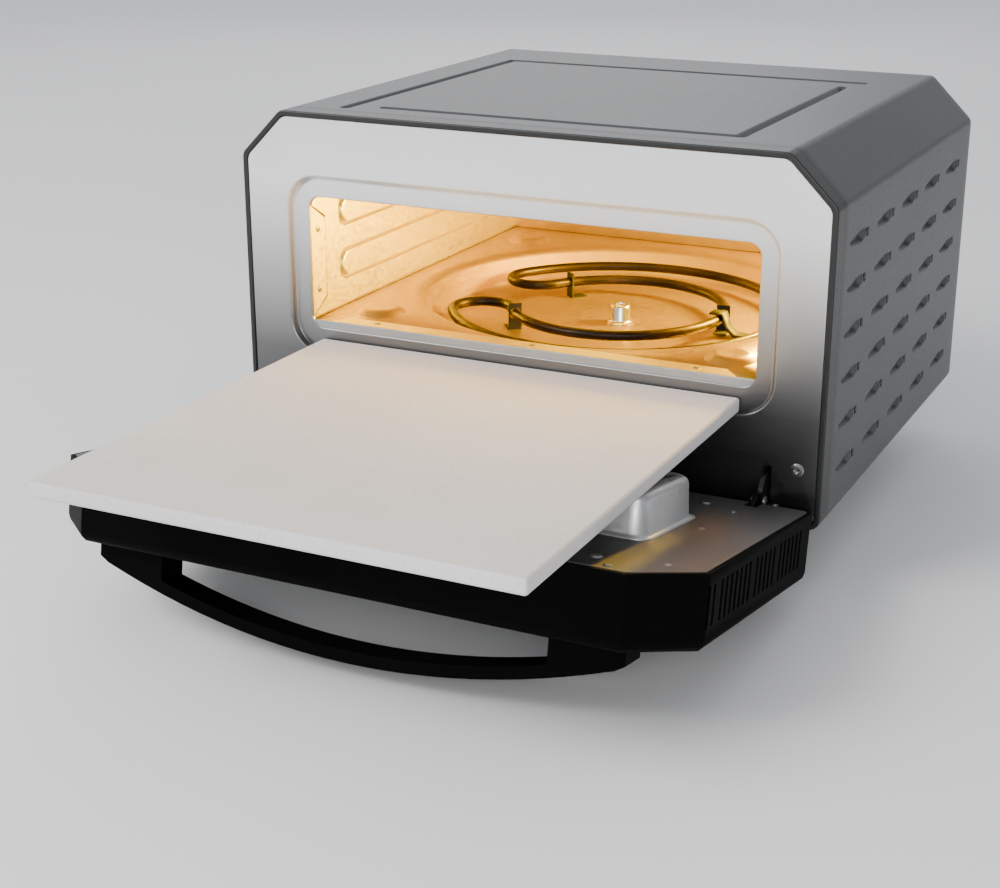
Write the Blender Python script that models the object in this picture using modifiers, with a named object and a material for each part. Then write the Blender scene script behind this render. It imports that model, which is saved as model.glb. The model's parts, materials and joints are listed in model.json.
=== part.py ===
"""Countertop pizza oven: sheet-metal body, lit cavity, drop-down door and baking stone.

X is the width, +Y points to the rear and +Z up.  The origin is on the surface that the oven
stands on, below the centre of the oven with its door open.  All sizes are metres.
"""
import math

import bmesh
import bpy
from mathutils import Matrix, Vector

# Overall sizes of the body, without its feet
WIDTH = 0.430
HEIGHT = 0.2428
DEPTH = 0.3637
FOOT_HEIGHT = 0.0445
TOP_CHAMFER = 0.032
BOTTOM_ROUND = 0.008

# Sheet thicknesses and clearances
GAP = 0.0003
SHEET = 0.0012
SHEET_FLANGE = 0.014
BEZEL_WALL = 0.004
BEZEL_DEPTH = 0.015
PANEL_SETBACK = 0.0008

# Opening in the front panel and the recessed rim round it
OPENING_FROM_SIDE = 0.0495
OPENING_LOW = 0.0885
OPENING_FROM_TOP = 0.0599
OPENING_ROUND = 0.008
RIM_SIDE = 0.0145
RIM_BELOW = 0.0173
RIM_ABOVE = 0.0161
RIM_ROUND = 0.023
RIM_DEPTH = 0.0055
RIM_SLOPE = 0.0015

# Cavity, set by the opening in front of it and the rear panel behind it
CAVITY_BESIDE_OPENING = 0.0013
CAVITY_FROM_REAR = 0.0177
FLOOR_ABOVE_SILL = 0.004
CEILING_ABOVE_OPENING = 0.0226
DISH_MARGIN = 0.0188
DISH_SLOPE = 0.013
DISH_DEPTH = 0.024
BUMP_SIDE = 0.0328
BUMP_END = 0.042
BUMP_RADIUS = 0.014
BUMP_HEIGHT = 0.004

# Heating elements
TUBE_RADIUS = 0.0037
RING_MARGIN = 0.009
RING_SPACING = 0.045
BEND_ANGLE = math.radians(150)
LEAD_SPREAD = 0.026
LEAD_PAST_WALL = 0.020
ELEMENT_STANDOFF = 0.013
CLIP_BESIDE_TUBE = 0.0013
CLIP_THICKNESS = 0.0012
CLIP_FOOT = 0.012
CLIP_OVER_TUBE = 0.004
CLIP_HOLE_SLACK = 0.0006
CLIP_ANGLES = {"left_rear": 140, "left_front": -140, "right": 8}
LEAD_HOLE_SLACK = 0.0013

# Hinge and door: the hinge's height is a share of the opening's lower edge, and the door's
# own frame is upright, with its origin on the hinge axis
HINGE_FORWARD = 0.006
HINGE_SHARE = 0.19774
DOOR_OPEN_ANGLE = math.radians(80)
HINGE_FROM_SIDE = 0.037
HINGE_PLATE = 0.003
HINGE_PIN_RADIUS = 0.0025
HINGE_PIN_SLACK = 0.0001
HINGE_EYE_RADIUS = 0.0055
HINGE_SLOT_WIDTH = 0.006
HINGE_SLOT_BELOW = 0.007
HINGE_SLOT_ABOVE = 0.022
BRACKET_REACH = 0.045
NOTCH_MARGIN = 0.0015
DOOR_SIDE_INSET = 0.0005
DOOR_ABOVE_BODY = 0.0132
DOOR_EDGE = 0.006
DOOR_THICKNESS = 0.0455
DOOR_WALL = 0.0025
DOOR_CHAMFER_ACROSS = 0.036
DOOR_CHAMFER_ALONG = 0.033
DOOR_ROUND = 0.008
DOOR_EDGE_ROUND = 0.007

# Raised liner on the door, which plugs into the opening
LINER_SIDE_CLEARANCE = 0.0075
LINER_END_CLEARANCE = 0.0055
LINER_WALL = 0.0015
LINER_ROUND = 0.006
LINER_WINDOW_MARGIN = 0.018
WINDOW_SIDE_MARGIN = 0.012
WINDOW_END_MARGIN = 0.006
GLASS = 0.004
GLASS_LAP = 0.006

# Stone: it lies on the rim's lower ledge and on the liner's front edge
STONE_SIDE_CLEARANCE = 0.009
STONE_END_CLEARANCE = 0.0162
STONE_THICKNESS = 0.0100
STONE_OVERLAP = 0.005
STONE_ROUND = 0.0018

# Handle
HANDLE_FROM_SIDE = 0.038
HANDLE_END_BLOCK = 0.0465
HANDLE_WIDTH = 0.022
HANDLE_SETBACK = 0.0175
HANDLE_END_REACH = 0.0145
HANDLE_MIDDLE_REACH = 0.0445
HANDLE_STRAP = 0.008
HANDLE_CORNER = 0.006

# Controls on the outer face of the door
CONTROL_LOW = 0.016
CONTROL_HIGH = 0.066
CONTROL_FROM_SIDE = 0.0645
FASCIA = 0.0018
FASCIA_HOLE_SLACK = 0.0008
DIAL_X = 0.100
DIAL_RADIUS = 0.017
DIAL_HEIGHT = 0.011
SHAFT_RADIUS = 0.003
BUTTON_XS = (0.000, 0.028, 0.056)
BUTTON_RADIUS = 0.0055
BUTTON_SLACK = 0.0004
BUTTON_HEIGHT = 0.0022
BUTTON_TRAVEL = 0.001
DISPLAY_X = -0.075
DISPLAY_HALF_WIDTH = 0.032
DISPLAY_HALF_HEIGHT = 0.012
BOARD_DEPTH = 0.014
BOARD_THICKNESS = 0.0016
BOARD_INSET = 0.020

# Vents in the door's sides: slots in each group, from the handle end to the hinge end
VENT_GROUPS = (2, 7, 5, 6)
VENT_GROUP_GAP = 0.0045
VENT_WIDTH = 0.0034
VENT_LENGTH = 0.024
VENT_BELOW_PLATE = 0.0195
VENT_START = 0.0345
VENT_END = 0.0245

# Louvres in the housing's sides
LOUVRE_ROWS = 6
LOUVRE_COLUMNS = 5
LOUVRE_FIRST_Y = 0.062
LOUVRE_LAST_Y = 0.0425
LOUVRE_FIRST_Z = 0.032
LOUVRE_LAST_Z = 0.0278
LOUVRE_SLIT = 0.0024
LOUVRE_SLIT_HEIGHT = 0.0075

# Feet
FOOT_FROM_SIDE = 0.078
FOOT_INSET_Y = 0.038
FOOT_RADIUS = 0.012
FOOT_TOP_RADIUS = 0.016
PAD_HEIGHT = 0.006

# Vents in the rear panel and the base pan: columns, rows, pitches and half sizes of a slot
REAR_VENT_GRID = (8, 3)
REAR_VENT_PITCH = (0.030, 0.050)
REAR_VENT_MIDDLE = (0.0, 0.1155)
REAR_VENT_HALF = (0.011, 0.0016)
BASE_VENT_GRID = (5, 4)
BASE_VENT_PITCH = (0.030, 0.040)
BASE_VENT_HALF = (0.002, 0.012)

# Rear and inside fittings
GLAND_RADIUS = 0.009
GLAND_FLANGE_RADIUS = 0.0135
GLAND_FLANGE = 0.004
GLAND_REACH = 0.014
GLAND_INSIDE = 0.012
GLAND_BORE = 0.004
GLAND_FROM_SIDE = 0.065
GLAND_HEIGHT = 0.0505
TERMINAL_BESIDE_GLAND = (-0.040, 0.015)
TERMINAL_FROM_REAR = 0.0937
TERMINAL_LENGTH = 0.030
TERMINAL_HEIGHT = 0.020
CUTOUT_RADIUS = 0.012
CUTOUT_BELOW_CEILING = 0.050
INSULATION_CLEARANCE = 0.006
LAMP_RADIUS = 0.022
LAMP_COLLAR = 0.006
LAMP_COLLAR_LENGTH = 0.030
LAMP_SETBACK = 0.060
LAMP_DROP = 0.055
BULB_RADIUS = 0.0085
BULB_LENGTH = 0.022
PROBE_X = 0.002
PROBE_RADIUS = 0.0078
PROBE_HEIGHT = 0.015
SCREW_RADIUS = 0.0042
SCREW_HEIGHT = 0.0018
PANEL_SCREW_FROM_SIDE = 0.017
PANEL_SCREW_HEIGHT = 0.0395
DOOR_SCREW_X = 0.152
DOOR_SCREW_FROM_END = 0.022
DOOR_SCREW_FROM_HINGE = 0.036

# Worked out from the sizes above
OPENING_HALF_WIDTH = WIDTH / 2 - OPENING_FROM_SIDE
OPENING_HIGH = HEIGHT - OPENING_FROM_TOP
HINGE_HEIGHT = OPENING_LOW * HINGE_SHARE
HINGE_SLOT_LOW = HINGE_HEIGHT - HINGE_SLOT_BELOW
HINGE_SLOT_HIGH = HINGE_HEIGHT + HINGE_SLOT_ABOVE
RIM_HALF_WIDTH = OPENING_HALF_WIDTH + RIM_SIDE
RIM_LOW = OPENING_LOW - RIM_BELOW
RIM_HIGH = OPENING_HIGH + RIM_ABOVE
PANEL_BACK = PANEL_SETBACK + RIM_DEPTH + SHEET
CAVITY_HALF_WIDTH = OPENING_HALF_WIDTH + CAVITY_BESIDE_OPENING
CAVITY_FRONT = PANEL_BACK + GAP
CAVITY_BACK = DEPTH - CAVITY_FROM_REAR
CAVITY_MIDDLE = (CAVITY_FRONT + CAVITY_BACK) / 2
FLOOR_HEIGHT = OPENING_LOW + FLOOR_ABOVE_SILL
CEILING_HEIGHT = OPENING_HIGH + CEILING_ABOVE_OPENING
DISH_RADIUS = min(CAVITY_HALF_WIDTH, CAVITY_BACK - CAVITY_MIDDLE) - DISH_MARGIN
DISH_FLAT_RADIUS = DISH_RADIUS - DISH_SLOPE
DISH_BOTTOM = FLOOR_HEIGHT - DISH_DEPTH
RING_OUTER = DISH_FLAT_RADIUS - RING_MARGIN
RING_INNER = RING_OUTER - RING_SPACING
LEAD_HOLE_RADIUS = TUBE_RADIUS + LEAD_HOLE_SLACK
LOWER_ELEMENT = DISH_BOTTOM + ELEMENT_STANDOFF
UPPER_ELEMENT = CEILING_HEIGHT - ELEMENT_STANDOFF
STONE_WIDTH = 2 * (OPENING_HALF_WIDTH - STONE_SIDE_CLEARANCE)
STONE_LENGTH = CAVITY_BACK - CAVITY_FRONT - STONE_END_CLEARANCE
STONE_BOTTOM = RIM_LOW + GAP
FRONT_REACH = STONE_LENGTH - STONE_OVERLAP
REAR_REACH = DEPTH + GLAND_REACH
SHIFT_Y = (FRONT_REACH - REAR_REACH) / 2
HINGE_X = WIDTH / 2 - HINGE_FROM_SIDE
DOOR_HALF_WIDTH = WIDTH / 2 - DOOR_SIDE_INSET
DOOR_LENGTH = HEIGHT + DOOR_ABOVE_BODY - HINGE_HEIGHT
DOOR_TILT = math.pi / 2 - DOOR_OPEN_ANGLE
DOOR_INSIDE = -DOOR_THICKNESS + DOOR_WALL + GAP
LINER_LOW = OPENING_LOW + LINER_END_CLEARANCE - HINGE_HEIGHT
LINER_HIGH = OPENING_HIGH - LINER_END_CLEARANCE - HINGE_HEIGHT
LINER_HALF_WIDTH = OPENING_HALF_WIDTH - LINER_SIDE_CLEARANCE
LINER_RISE = STONE_BOTTOM - GAP - HINGE_HEIGHT - LINER_HIGH * math.sin(DOOR_TILT)
LINER_HEIGHT = LINER_RISE / math.cos(DOOR_TILT)
WINDOW_HALF_WIDTH = LINER_HALF_WIDTH - WINDOW_SIDE_MARGIN
WINDOW_LOW = LINER_LOW + WINDOW_END_MARGIN
WINDOW_HIGH = LINER_HIGH - WINDOW_END_MARGIN
HANDLE_HALF_LENGTH = DOOR_HALF_WIDTH - HANDLE_FROM_SIDE
HANDLE_GAP_HALF_LENGTH = HANDLE_HALF_LENGTH - HANDLE_END_BLOCK
CONTROL_HALF_WIDTH = DOOR_HALF_WIDTH - CONTROL_FROM_SIDE
CONTROL_MIDDLE = (CONTROL_LOW + CONTROL_HIGH) / 2
VENT_ROOM = DOOR_LENGTH - VENT_START - VENT_END - (len(VENT_GROUPS) - 1) * VENT_GROUP_GAP
VENT_PITCH = VENT_ROOM / sum(VENT_GROUPS)
LOUVRE_PITCH_Y = (DEPTH - LOUVRE_FIRST_Y - LOUVRE_LAST_Y) / (LOUVRE_COLUMNS - 1)
LOUVRE_ROOM = HEIGHT - TOP_CHAMFER - LOUVRE_FIRST_Z - LOUVRE_LAST_Z
LOUVRE_PITCH_Z = LOUVRE_ROOM / (LOUVRE_ROWS - 1)
FOOT_X = WIDTH / 2 - FOOT_FROM_SIDE
GLAND_X = WIDTH / 2 - GLAND_FROM_SIDE
TURN_STEPS = 24
CORNER_STEPS = 5

PLANES = {
    "XY": Matrix.Identity(4),
    "XZ": Matrix(((1, 0, 0, 0), (0, 0, -1, 0), (0, 1, 0, 0), (0, 0, 0, 1))),
    "YZ": Matrix(((0, 0, 1, 0), (1, 0, 0, 0), (0, 1, 0, 0), (0, 0, 0, 1))),
}


# ---------------------------------------------------------------- scene and materials

def clear_scene():
    for thing in list(bpy.data.objects):
        bpy.data.objects.remove(thing, do_unlink=True)


def new_collection(name):
    collection = bpy.data.collections.new(name)
    bpy.context.scene.collection.children.link(collection)
    return collection


def finish(name, colour, roughness, metallic, alpha=1.0):
    """A Principled material."""
    material = bpy.data.materials.new(name)
    material.use_nodes = True
    shader = material.node_tree.nodes["Principled BSDF"]
    shader.inputs["Base Color"].default_value = (*colour, 1.0)
    shader.inputs["Roughness"].default_value = roughness
    shader.inputs["Metallic"].default_value = metallic
    shader.inputs["Alpha"].default_value = alpha
    return material


def empty(name, location, parent=None, tilt=0.0):
    holder = bpy.data.objects.new(name, None)
    OVEN.objects.link(holder)
    holder.location = location
    holder.rotation_euler = (tilt, 0, 0)
    holder.parent = parent
    return holder


def place(name, mesh, material, parent, location=(0, 0, 0), rotation=(0, 0, 0)):
    thing = bpy.data.objects.new(name, mesh)
    OVEN.objects.link(thing)
    thing.parent = parent
    thing.location = location
    thing.rotation_euler = rotation
    mesh.materials.append(material)
    return thing


def cutter(name, mesh, parent):
    tool = bpy.data.objects.new(name, mesh)
    CUTTERS.objects.link(tool)
    tool.parent = parent
    tool.hide_render = True
    tool.display_type = "WIRE"
    return tool


def cut(target, tool, operation="DIFFERENCE"):
    modifier = target.modifiers.new(tool.name, "BOOLEAN")
    modifier.operation = operation
    modifier.object = tool


def thicken(target, thickness, offset):
    modifier = target.modifiers.new("wall", "SOLIDIFY")
    modifier.thickness = thickness
    modifier.offset = offset
    modifier.use_even_offset = True


def round_edges(target, width, segments=2, angle=math.radians(40)):
    modifier = target.modifiers.new("round", "BEVEL")
    modifier.width = width
    modifier.segments = segments
    modifier.limit_method = "ANGLE"
    modifier.angle_limit = angle


# ---------------------------------------------------------------- mesh helpers

def to_mesh(bm, name):
    mesh = bpy.data.meshes.new(name)
    bm.to_mesh(mesh)
    bm.free()
    return mesh


def box(low, high, name="box"):
    bm = bmesh.new()
    bmesh.ops.create_cube(bm, size=1.0)
    low, high = Vector(low), Vector(high)
    bmesh.ops.scale(bm, vec=high - low, verts=bm.verts)
    bmesh.ops.translate(bm, vec=(low + high) / 2, verts=bm.verts)
    return to_mesh(bm, name)


def boxes(spans, name="boxes"):
    """Separate boxes in one mesh, for a cutter."""
    bm = bmesh.new()
    for low, high in spans:
        low, high = Vector(low), Vector(high)
        made = bmesh.ops.create_cube(bm, size=1.0)["verts"]
        bmesh.ops.scale(bm, vec=high - low, verts=made)
        bmesh.ops.translate(bm, vec=(low + high) / 2, verts=made)
    return to_mesh(bm, name)


def rod(radius, low, high, plane="XY", centre=(0, 0), steps=TURN_STEPS, tip=None, name="rod"):
    """A round bar or cone standing on a plane, from low to high along its normal."""
    bm = bmesh.new()
    tip_radius = radius if tip is None else tip
    bmesh.ops.create_cone(bm, cap_ends=True, segments=steps, radius1=radius,
                          radius2=tip_radius, depth=high - low)
    bmesh.ops.translate(bm, vec=(centre[0], centre[1], (low + high) / 2), verts=bm.verts)
    bm.transform(PLANES[plane])
    return to_mesh(bm, name)


def prism(outlines, low, high, plane, name="prism"):
    """A flat outline, with any holes, given a thickness from low to high."""
    curve = bpy.data.curves.new(name, "CURVE")
    curve.dimensions = "2D"
    curve.fill_mode = "BOTH"
    curve.extrude = (high - low) / 2
    for outline in outlines:
        spline = curve.splines.new("POLY")
        spline.points.add(len(outline) - 1)
        for point, (u, v) in zip(spline.points, outline):
            point.co = (u, v, 0, 1)
        spline.use_cyclic_u = True
    guide = bpy.data.objects.new(name, curve)
    bpy.context.scene.collection.objects.link(guide)
    graph = bpy.context.evaluated_depsgraph_get()
    mesh = bpy.data.meshes.new_from_object(guide.evaluated_get(graph))
    bpy.data.objects.remove(guide)
    bm = bmesh.new()
    bm.from_mesh(mesh)
    bmesh.ops.remove_doubles(bm, verts=bm.verts, dist=0.000002)
    bmesh.ops.translate(bm, vec=(0, 0, (low + high) / 2), verts=bm.verts)
    bm.transform(PLANES[plane])
    bmesh.ops.recalc_face_normals(bm, faces=bm.faces)
    bm.to_mesh(mesh)
    bm.free()
    return mesh


def turned(profile):
    """A chain of edges through (radius, height) points, for spin to turn round Z."""
    bm = bmesh.new()
    points = [bm.verts.new((radius, 0, height)) for radius, height in profile]
    for pair in zip(points, points[1:]):
        bm.edges.new(pair)
    if profile[0][0] > 0 and profile[-1][0] > 0:
        bm.edges.new((points[-1], points[0]))
    return to_mesh(bm, "profile")


def spin(target):
    modifier = target.modifiers.new("turn", "SCREW")
    modifier.angle = 2 * math.pi
    modifier.steps = TURN_STEPS
    modifier.render_steps = TURN_STEPS
    modifier.use_merge_vertices = True
    modifier.merge_threshold = 0.00001


def loft(rings, closed=True, cap=False, name="loft"):
    """A surface through rings of equally many points; cap closes the last ring."""
    bm = bmesh.new()
    rows = [[bm.verts.new(point) for point in ring] for ring in rings]
    count = len(rows[0])
    for row, following in zip(rows, rows[1:]):
        for i in range(count if closed else count - 1):
            j = (i + 1) % count
            bm.faces.new((row[i], row[j], following[j], following[i]))
    if cap:
        bm.faces.new(list(reversed(rows[-1])))
    bmesh.ops.recalc_face_normals(bm, faces=bm.faces)
    return to_mesh(bm, name)


# ---------------------------------------------------------------- outlines

def arc(centre, radius, start, end, steps):
    """Points from start to end, in degrees, both included."""
    angles = [math.radians(start + (end - start) * i / steps) for i in range(steps + 1)]
    return [(centre[0] + radius * math.cos(a), centre[1] + radius * math.sin(a))
            for a in angles]


def line(first, last, steps):
    return [tuple(Vector(first).lerp(Vector(last), i / steps)) for i in range(steps + 1)]


def circle(centre, radius, steps=TURN_STEPS):
    return arc(centre, radius, 0, 360, steps)[:-1]


def rectangle(x_low, x_high, y_low, y_high):
    return [(x_low, y_low), (x_high, y_low), (x_high, y_high), (x_low, y_high)]


def rounded(x_low, x_high, y_low, y_high, radius, steps=CORNER_STEPS):
    """A rectangle with round corners, anticlockwise from its lower left one."""
    return (arc((x_low + radius, y_low + radius), radius, 180, 270, steps)
            + arc((x_high - radius, y_low + radius), radius, 270, 360, steps)
            + arc((x_high - radius, y_high - radius), radius, 0, 90, steps)
            + arc((x_low + radius, y_high - radius), radius, 90, 180, steps))


def chamfered(half_width, low, high, base_round, across, along, steps=CORNER_STEPS):
    """Round lower corners and straight cuts on the upper ones, anticlockwise."""
    return (arc((-half_width + base_round, low + base_round), base_round, 180, 270, steps)
            + arc((half_width - base_round, low + base_round), base_round, 270, 360, steps)
            + line((half_width, high - along), (half_width - across, high), steps)
            + line((-half_width + across, high), (-half_width, high - along), steps))


def body_outline(inset=0.0):
    """The body's front outline, or a smaller one inside it at an even distance."""
    chamfer = TOP_CHAMFER - inset * (2 - math.sqrt(2))
    corner = max(BOTTOM_ROUND - inset, 0.001)
    return chamfered(WIDTH / 2 - inset, inset, HEIGHT - inset, corner, chamfer, chamfer)


def door_outline(inset=0.0):
    slope = math.atan2(DOOR_CHAMFER_ALONG, DOOR_CHAMFER_ACROSS)
    across = DOOR_CHAMFER_ACROSS - inset * (1 - math.tan(slope / 2))
    along = across * math.tan(slope)
    corner = max(DOOR_ROUND - inset, 0.001)
    return chamfered(DOOR_HALF_WIDTH - inset, DOOR_EDGE + inset, DOOR_LENGTH - inset,
                     corner, across, along)


def lift(points, y):
    """An outline in XZ as points in space."""
    return [(x, y, z) for x, z in points]


# ---------------------------------------------------------------- body

def louvre_slits():
    spans = []
    for column in range(LOUVRE_COLUMNS):
        y = LOUVRE_FIRST_Y + column * LOUVRE_PITCH_Y
        for row in range(LOUVRE_ROWS):
            z = LOUVRE_FIRST_Z + row * LOUVRE_PITCH_Z
            for x in (-WIDTH / 2, WIDTH / 2):
                spans.append(((x - 3 * SHEET, y, z - LOUVRE_SLIT_HEIGHT / 2),
                              (x + 3 * SHEET, y + LOUVRE_SLIT, z + LOUVRE_SLIT_HEIGHT / 2)))
    return spans


def make_outer_housing(body):
    """A sheet wrapped over the top and both sides, with turned-in lower edges."""
    half = WIDTH / 2
    side = (arc((half - BOTTOM_ROUND, BOTTOM_ROUND), BOTTOM_ROUND, 270, 360, 4)
            + [(half, HEIGHT - TOP_CHAMFER), (half - TOP_CHAMFER, HEIGHT)])
    right = [(half - BOTTOM_ROUND - SHEET_FLANGE, 0.0)] + side
    profile = right + [(-x, z) for x, z in reversed(right)]
    rings = [lift(profile, BEZEL_DEPTH + GAP), lift(profile, DEPTH)]
    housing = place("outer_housing", loft(rings, closed=False), PAINT, body)
    top = max(housing.data.polygons, key=lambda face: face.center.z)
    thicken(housing, SHEET, -1 if top.normal.z > 0 else 1)
    cut(housing, cutter("louvre_slits", boxes(louvre_slits()), body))


def make_front_bezel(body):
    outlines = [body_outline(), body_outline(BEZEL_WALL)]
    place("front_bezel", prism(outlines, -BEZEL_DEPTH, 0, "XZ"), DARK_PAINT, body)


def make_front_panel(body):
    """A pressed steel panel: its recessed rim steps back to the opening."""
    face, floor = PANEL_SETBACK, PANEL_SETBACK + RIM_DEPTH
    rim = rounded(-RIM_HALF_WIDTH, RIM_HALF_WIDTH, RIM_LOW, RIM_HIGH, RIM_ROUND)
    step = rounded(-RIM_HALF_WIDTH + RIM_SLOPE, RIM_HALF_WIDTH - RIM_SLOPE,
                   RIM_LOW, RIM_HIGH - RIM_SLOPE, RIM_ROUND - RIM_SLOPE)
    opening = rounded(-OPENING_HALF_WIDTH, OPENING_HALF_WIDTH, OPENING_LOW, OPENING_HIGH,
                      OPENING_ROUND)
    outer = body_outline(BEZEL_WALL + GAP)
    rings = [lift(outer, face), lift(rim, face), lift(step, floor), lift(opening, floor)]
    panel = place("front_panel", loft(rings), STEEL, body)
    thicken(panel, SHEET, 1 if panel_faces_rear(panel) else -1)
    slots = []
    for side in (-1, 1):
        x = side * HINGE_X
        slots.append(((x - HINGE_SLOT_WIDTH / 2, -0.01, HINGE_SLOT_LOW),
                      (x + HINGE_SLOT_WIDTH / 2, 0.01, HINGE_SLOT_HIGH)))
    cut(panel, cutter("hinge_slots", boxes(slots), body))


def panel_faces_rear(panel):
    """True where the sheet's flat outer faces have normals along +Y."""
    widest = max(panel.data.polygons, key=lambda face: face.area)
    return widest.normal.y > 0


def slot_grid(counts, pitch, middle, half, corner):
    """Rounded slots in columns and rows about a middle point."""
    slots = []
    for column in range(counts[0]):
        for row in range(counts[1]):
            x = middle[0] + (column - (counts[0] - 1) / 2) * pitch[0]
            y = middle[1] + (row - (counts[1] - 1) / 2) * pitch[1]
            slots.append(rounded(x - half[0], x + half[0], y - half[1], y + half[1], corner, 1))
    return slots


def make_rear_panel(body):
    """The flat back, with rows of vent slots and a hole for the cord's gland."""
    holes = [circle((GLAND_X, GLAND_HEIGHT), GLAND_RADIUS + GAP)]
    holes += slot_grid(REAR_VENT_GRID, REAR_VENT_PITCH, REAR_VENT_MIDDLE, REAR_VENT_HALF, 0.0015)
    mesh = prism([body_outline(SHEET + GAP)] + holes, -DEPTH, -DEPTH + SHEET, "XZ")
    place("rear_panel", mesh, DARK_PAINT, body)


def make_base_pan(body):
    """The bottom sheet, between the housing's turned-in edges and the cavity."""
    half = WIDTH / 2 - BOTTOM_ROUND - GAP
    low = SHEET + GAP
    holes = slot_grid(BASE_VENT_GRID, BASE_VENT_PITCH, (0, DEPTH / 2), BASE_VENT_HALF, 0.0018)
    sheet = rounded(-half, half, BEZEL_DEPTH + 2 * GAP, DEPTH - SHEET - GAP, 0.004, 2)
    place("base_pan", prism([sheet] + holes, low, low + SHEET, "XY"), DARK_PAINT, body)


def make_feet(body):
    ends = {"front": FOOT_INSET_Y, "rear": DEPTH - FOOT_INSET_Y}
    for side, x in (("left", -FOOT_X), ("right", FOOT_X)):
        for end, y in ends.items():
            leg = rod(FOOT_RADIUS, -FOOT_HEIGHT + PAD_HEIGHT + GAP, SHEET, tip=FOOT_TOP_RADIUS)
            place(f"foot_{end}_{side}", leg, BLACK, body, (x, y, 0))
            pad = rod(FOOT_RADIUS, -FOOT_HEIGHT, -FOOT_HEIGHT + PAD_HEIGHT)
            sole = place(f"foot_pad_{end}_{side}", pad, RUBBER, body, (x, y, 0))
            round_edges(sole, 0.001, 1)


# ---------------------------------------------------------------- cavity

def make_cavity_floor(body):
    """A sheet with a round dish for the element and four bumps that carry the stone."""
    count = 48
    half_depth = (CAVITY_BACK - CAVITY_FRONT) / 2
    edge = []
    for i in range(count):
        angle = 2 * math.pi * i / count
        u, v = math.cos(angle), math.sin(angle)
        reach = max(abs(u), abs(v))
        edge.append((CAVITY_HALF_WIDTH * u / reach, CAVITY_MIDDLE + half_depth * v / reach,
                     FLOOR_HEIGHT))
    rings = [edge]
    for radius, z in ((DISH_RADIUS, FLOOR_HEIGHT), (DISH_RADIUS - 0.003, FLOOR_HEIGHT - 0.002),
                      (DISH_FLAT_RADIUS + 0.002, DISH_BOTTOM + 0.002),
                      (DISH_FLAT_RADIUS, DISH_BOTTOM)):
        rings.append([(x, y, z) for x, y in circle((0, CAVITY_MIDDLE), radius, count)])
    floor = place("cavity_floor", loft(rings, cap=True), ALUMINISED, body)
    thicken(floor, SHEET, -1 if floor.data.polygons[0].normal.z > 0 else 1)
    for x in (-1, 1):
        for y in (CAVITY_FRONT + BUMP_END, CAVITY_BACK - BUMP_END):
            centre = (x * (CAVITY_HALF_WIDTH - BUMP_SIDE), y)
            bump = rod(BUMP_RADIUS, FLOOR_HEIGHT - SHEET / 2, FLOOR_HEIGHT + BUMP_HEIGHT,
                       centre=centre, tip=BUMP_RADIUS * 0.72)
            tool = cutter(f"bump_{x}_{y:.3f}", bump, body)
            cut(floor, tool, "UNION")
    for y in (-LEAD_SPREAD, LEAD_SPREAD):
        hole = rod(LEAD_HOLE_RADIUS, RING_OUTER, CAVITY_HALF_WIDTH - 0.002, "YZ",
                   (CAVITY_MIDDLE + y, LOWER_ELEMENT), steps=16)
        cut(floor, cutter(f"lead_hole_{y:.3f}", hole, body))


def make_cavity_walls(body):
    top = CEILING_HEIGHT
    low = FLOOR_HEIGHT + GAP
    for name, side in (("cavity_wall_left", -1), ("cavity_wall_right", 1)):
        inner = side * (CAVITY_HALF_WIDTH + GAP)
        outer = inner + side * SHEET
        outline = rectangle(CAVITY_FRONT, CAVITY_BACK, low, top)
        holes = []
        if side > 0:
            for y in (-LEAD_SPREAD, LEAD_SPREAD):
                holes.append(circle((CAVITY_MIDDLE + y, UPPER_ELEMENT), LEAD_HOLE_RADIUS, 16))
            holes.append(circle((CAVITY_BACK - LAMP_SETBACK, top - LAMP_DROP), LAMP_RADIUS))
        mesh = prism([outline] + holes, min(inner, outer), max(inner, outer), "YZ")
        place(name, mesh, ALUMINISED, body)
    half = CAVITY_HALF_WIDTH + SHEET + GAP
    ceiling = box((-half, CAVITY_FRONT, top + GAP), (half, CAVITY_BACK, top + GAP + SHEET))
    place("cavity_ceiling", ceiling, ALUMINISED, body)
    back = box((-half, CAVITY_BACK + GAP, low),
               (half, CAVITY_BACK + GAP + SHEET, top + GAP + SHEET))
    place("cavity_back_wall", back, ALUMINISED, body)


def element_path(end_x):
    """Outer arcs joined by round bends to an inner ring; both leads run out along +X."""
    middle = (RING_INNER + RING_OUTER) / 2
    bend = (RING_OUTER - RING_INNER) / 2
    lead_angle = math.asin(LEAD_SPREAD / RING_OUTER)
    half = [(end_x, LEAD_SPREAD)]
    for i in range(15):
        angle = lead_angle + (BEND_ANGLE - lead_angle) * i / 14
        half.append((RING_OUTER * math.cos(angle), RING_OUTER * math.sin(angle)))
    outward = Vector((math.cos(BEND_ANGLE), math.sin(BEND_ANGLE)))
    onward = Vector((-outward.y, outward.x))
    for i in range(1, 8):
        turn = math.pi * i / 8
        point = outward * (middle + bend * math.cos(turn)) + onward * bend * math.sin(turn)
        half.append(tuple(point))
    for i in range(12):
        angle = BEND_ANGLE * (1 - i / 12)
        half.append((RING_INNER * math.cos(angle), RING_INNER * math.sin(angle)))
    return half + [(RING_INNER, 0.0)] + [(x, -y) for x, y in reversed(half)]


def make_element(name, z, body):
    curve = bpy.data.curves.new(name, "CURVE")
    curve.dimensions = "3D"
    curve.bevel_depth = TUBE_RADIUS
    curve.bevel_resolution = 2
    curve.use_fill_caps = True
    path = element_path(CAVITY_HALF_WIDTH + LEAD_PAST_WALL)
    spline = curve.splines.new("POLY")
    spline.points.add(len(path) - 1)
    for point, (x, y) in zip(spline.points, path):
        point.co = (x, CAVITY_MIDDLE + y, z, 1)
    tube = bpy.data.objects.new(name, curve)
    OVEN.objects.link(tube)
    tube.parent = body
    curve.materials.append(ELEMENT)


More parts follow.
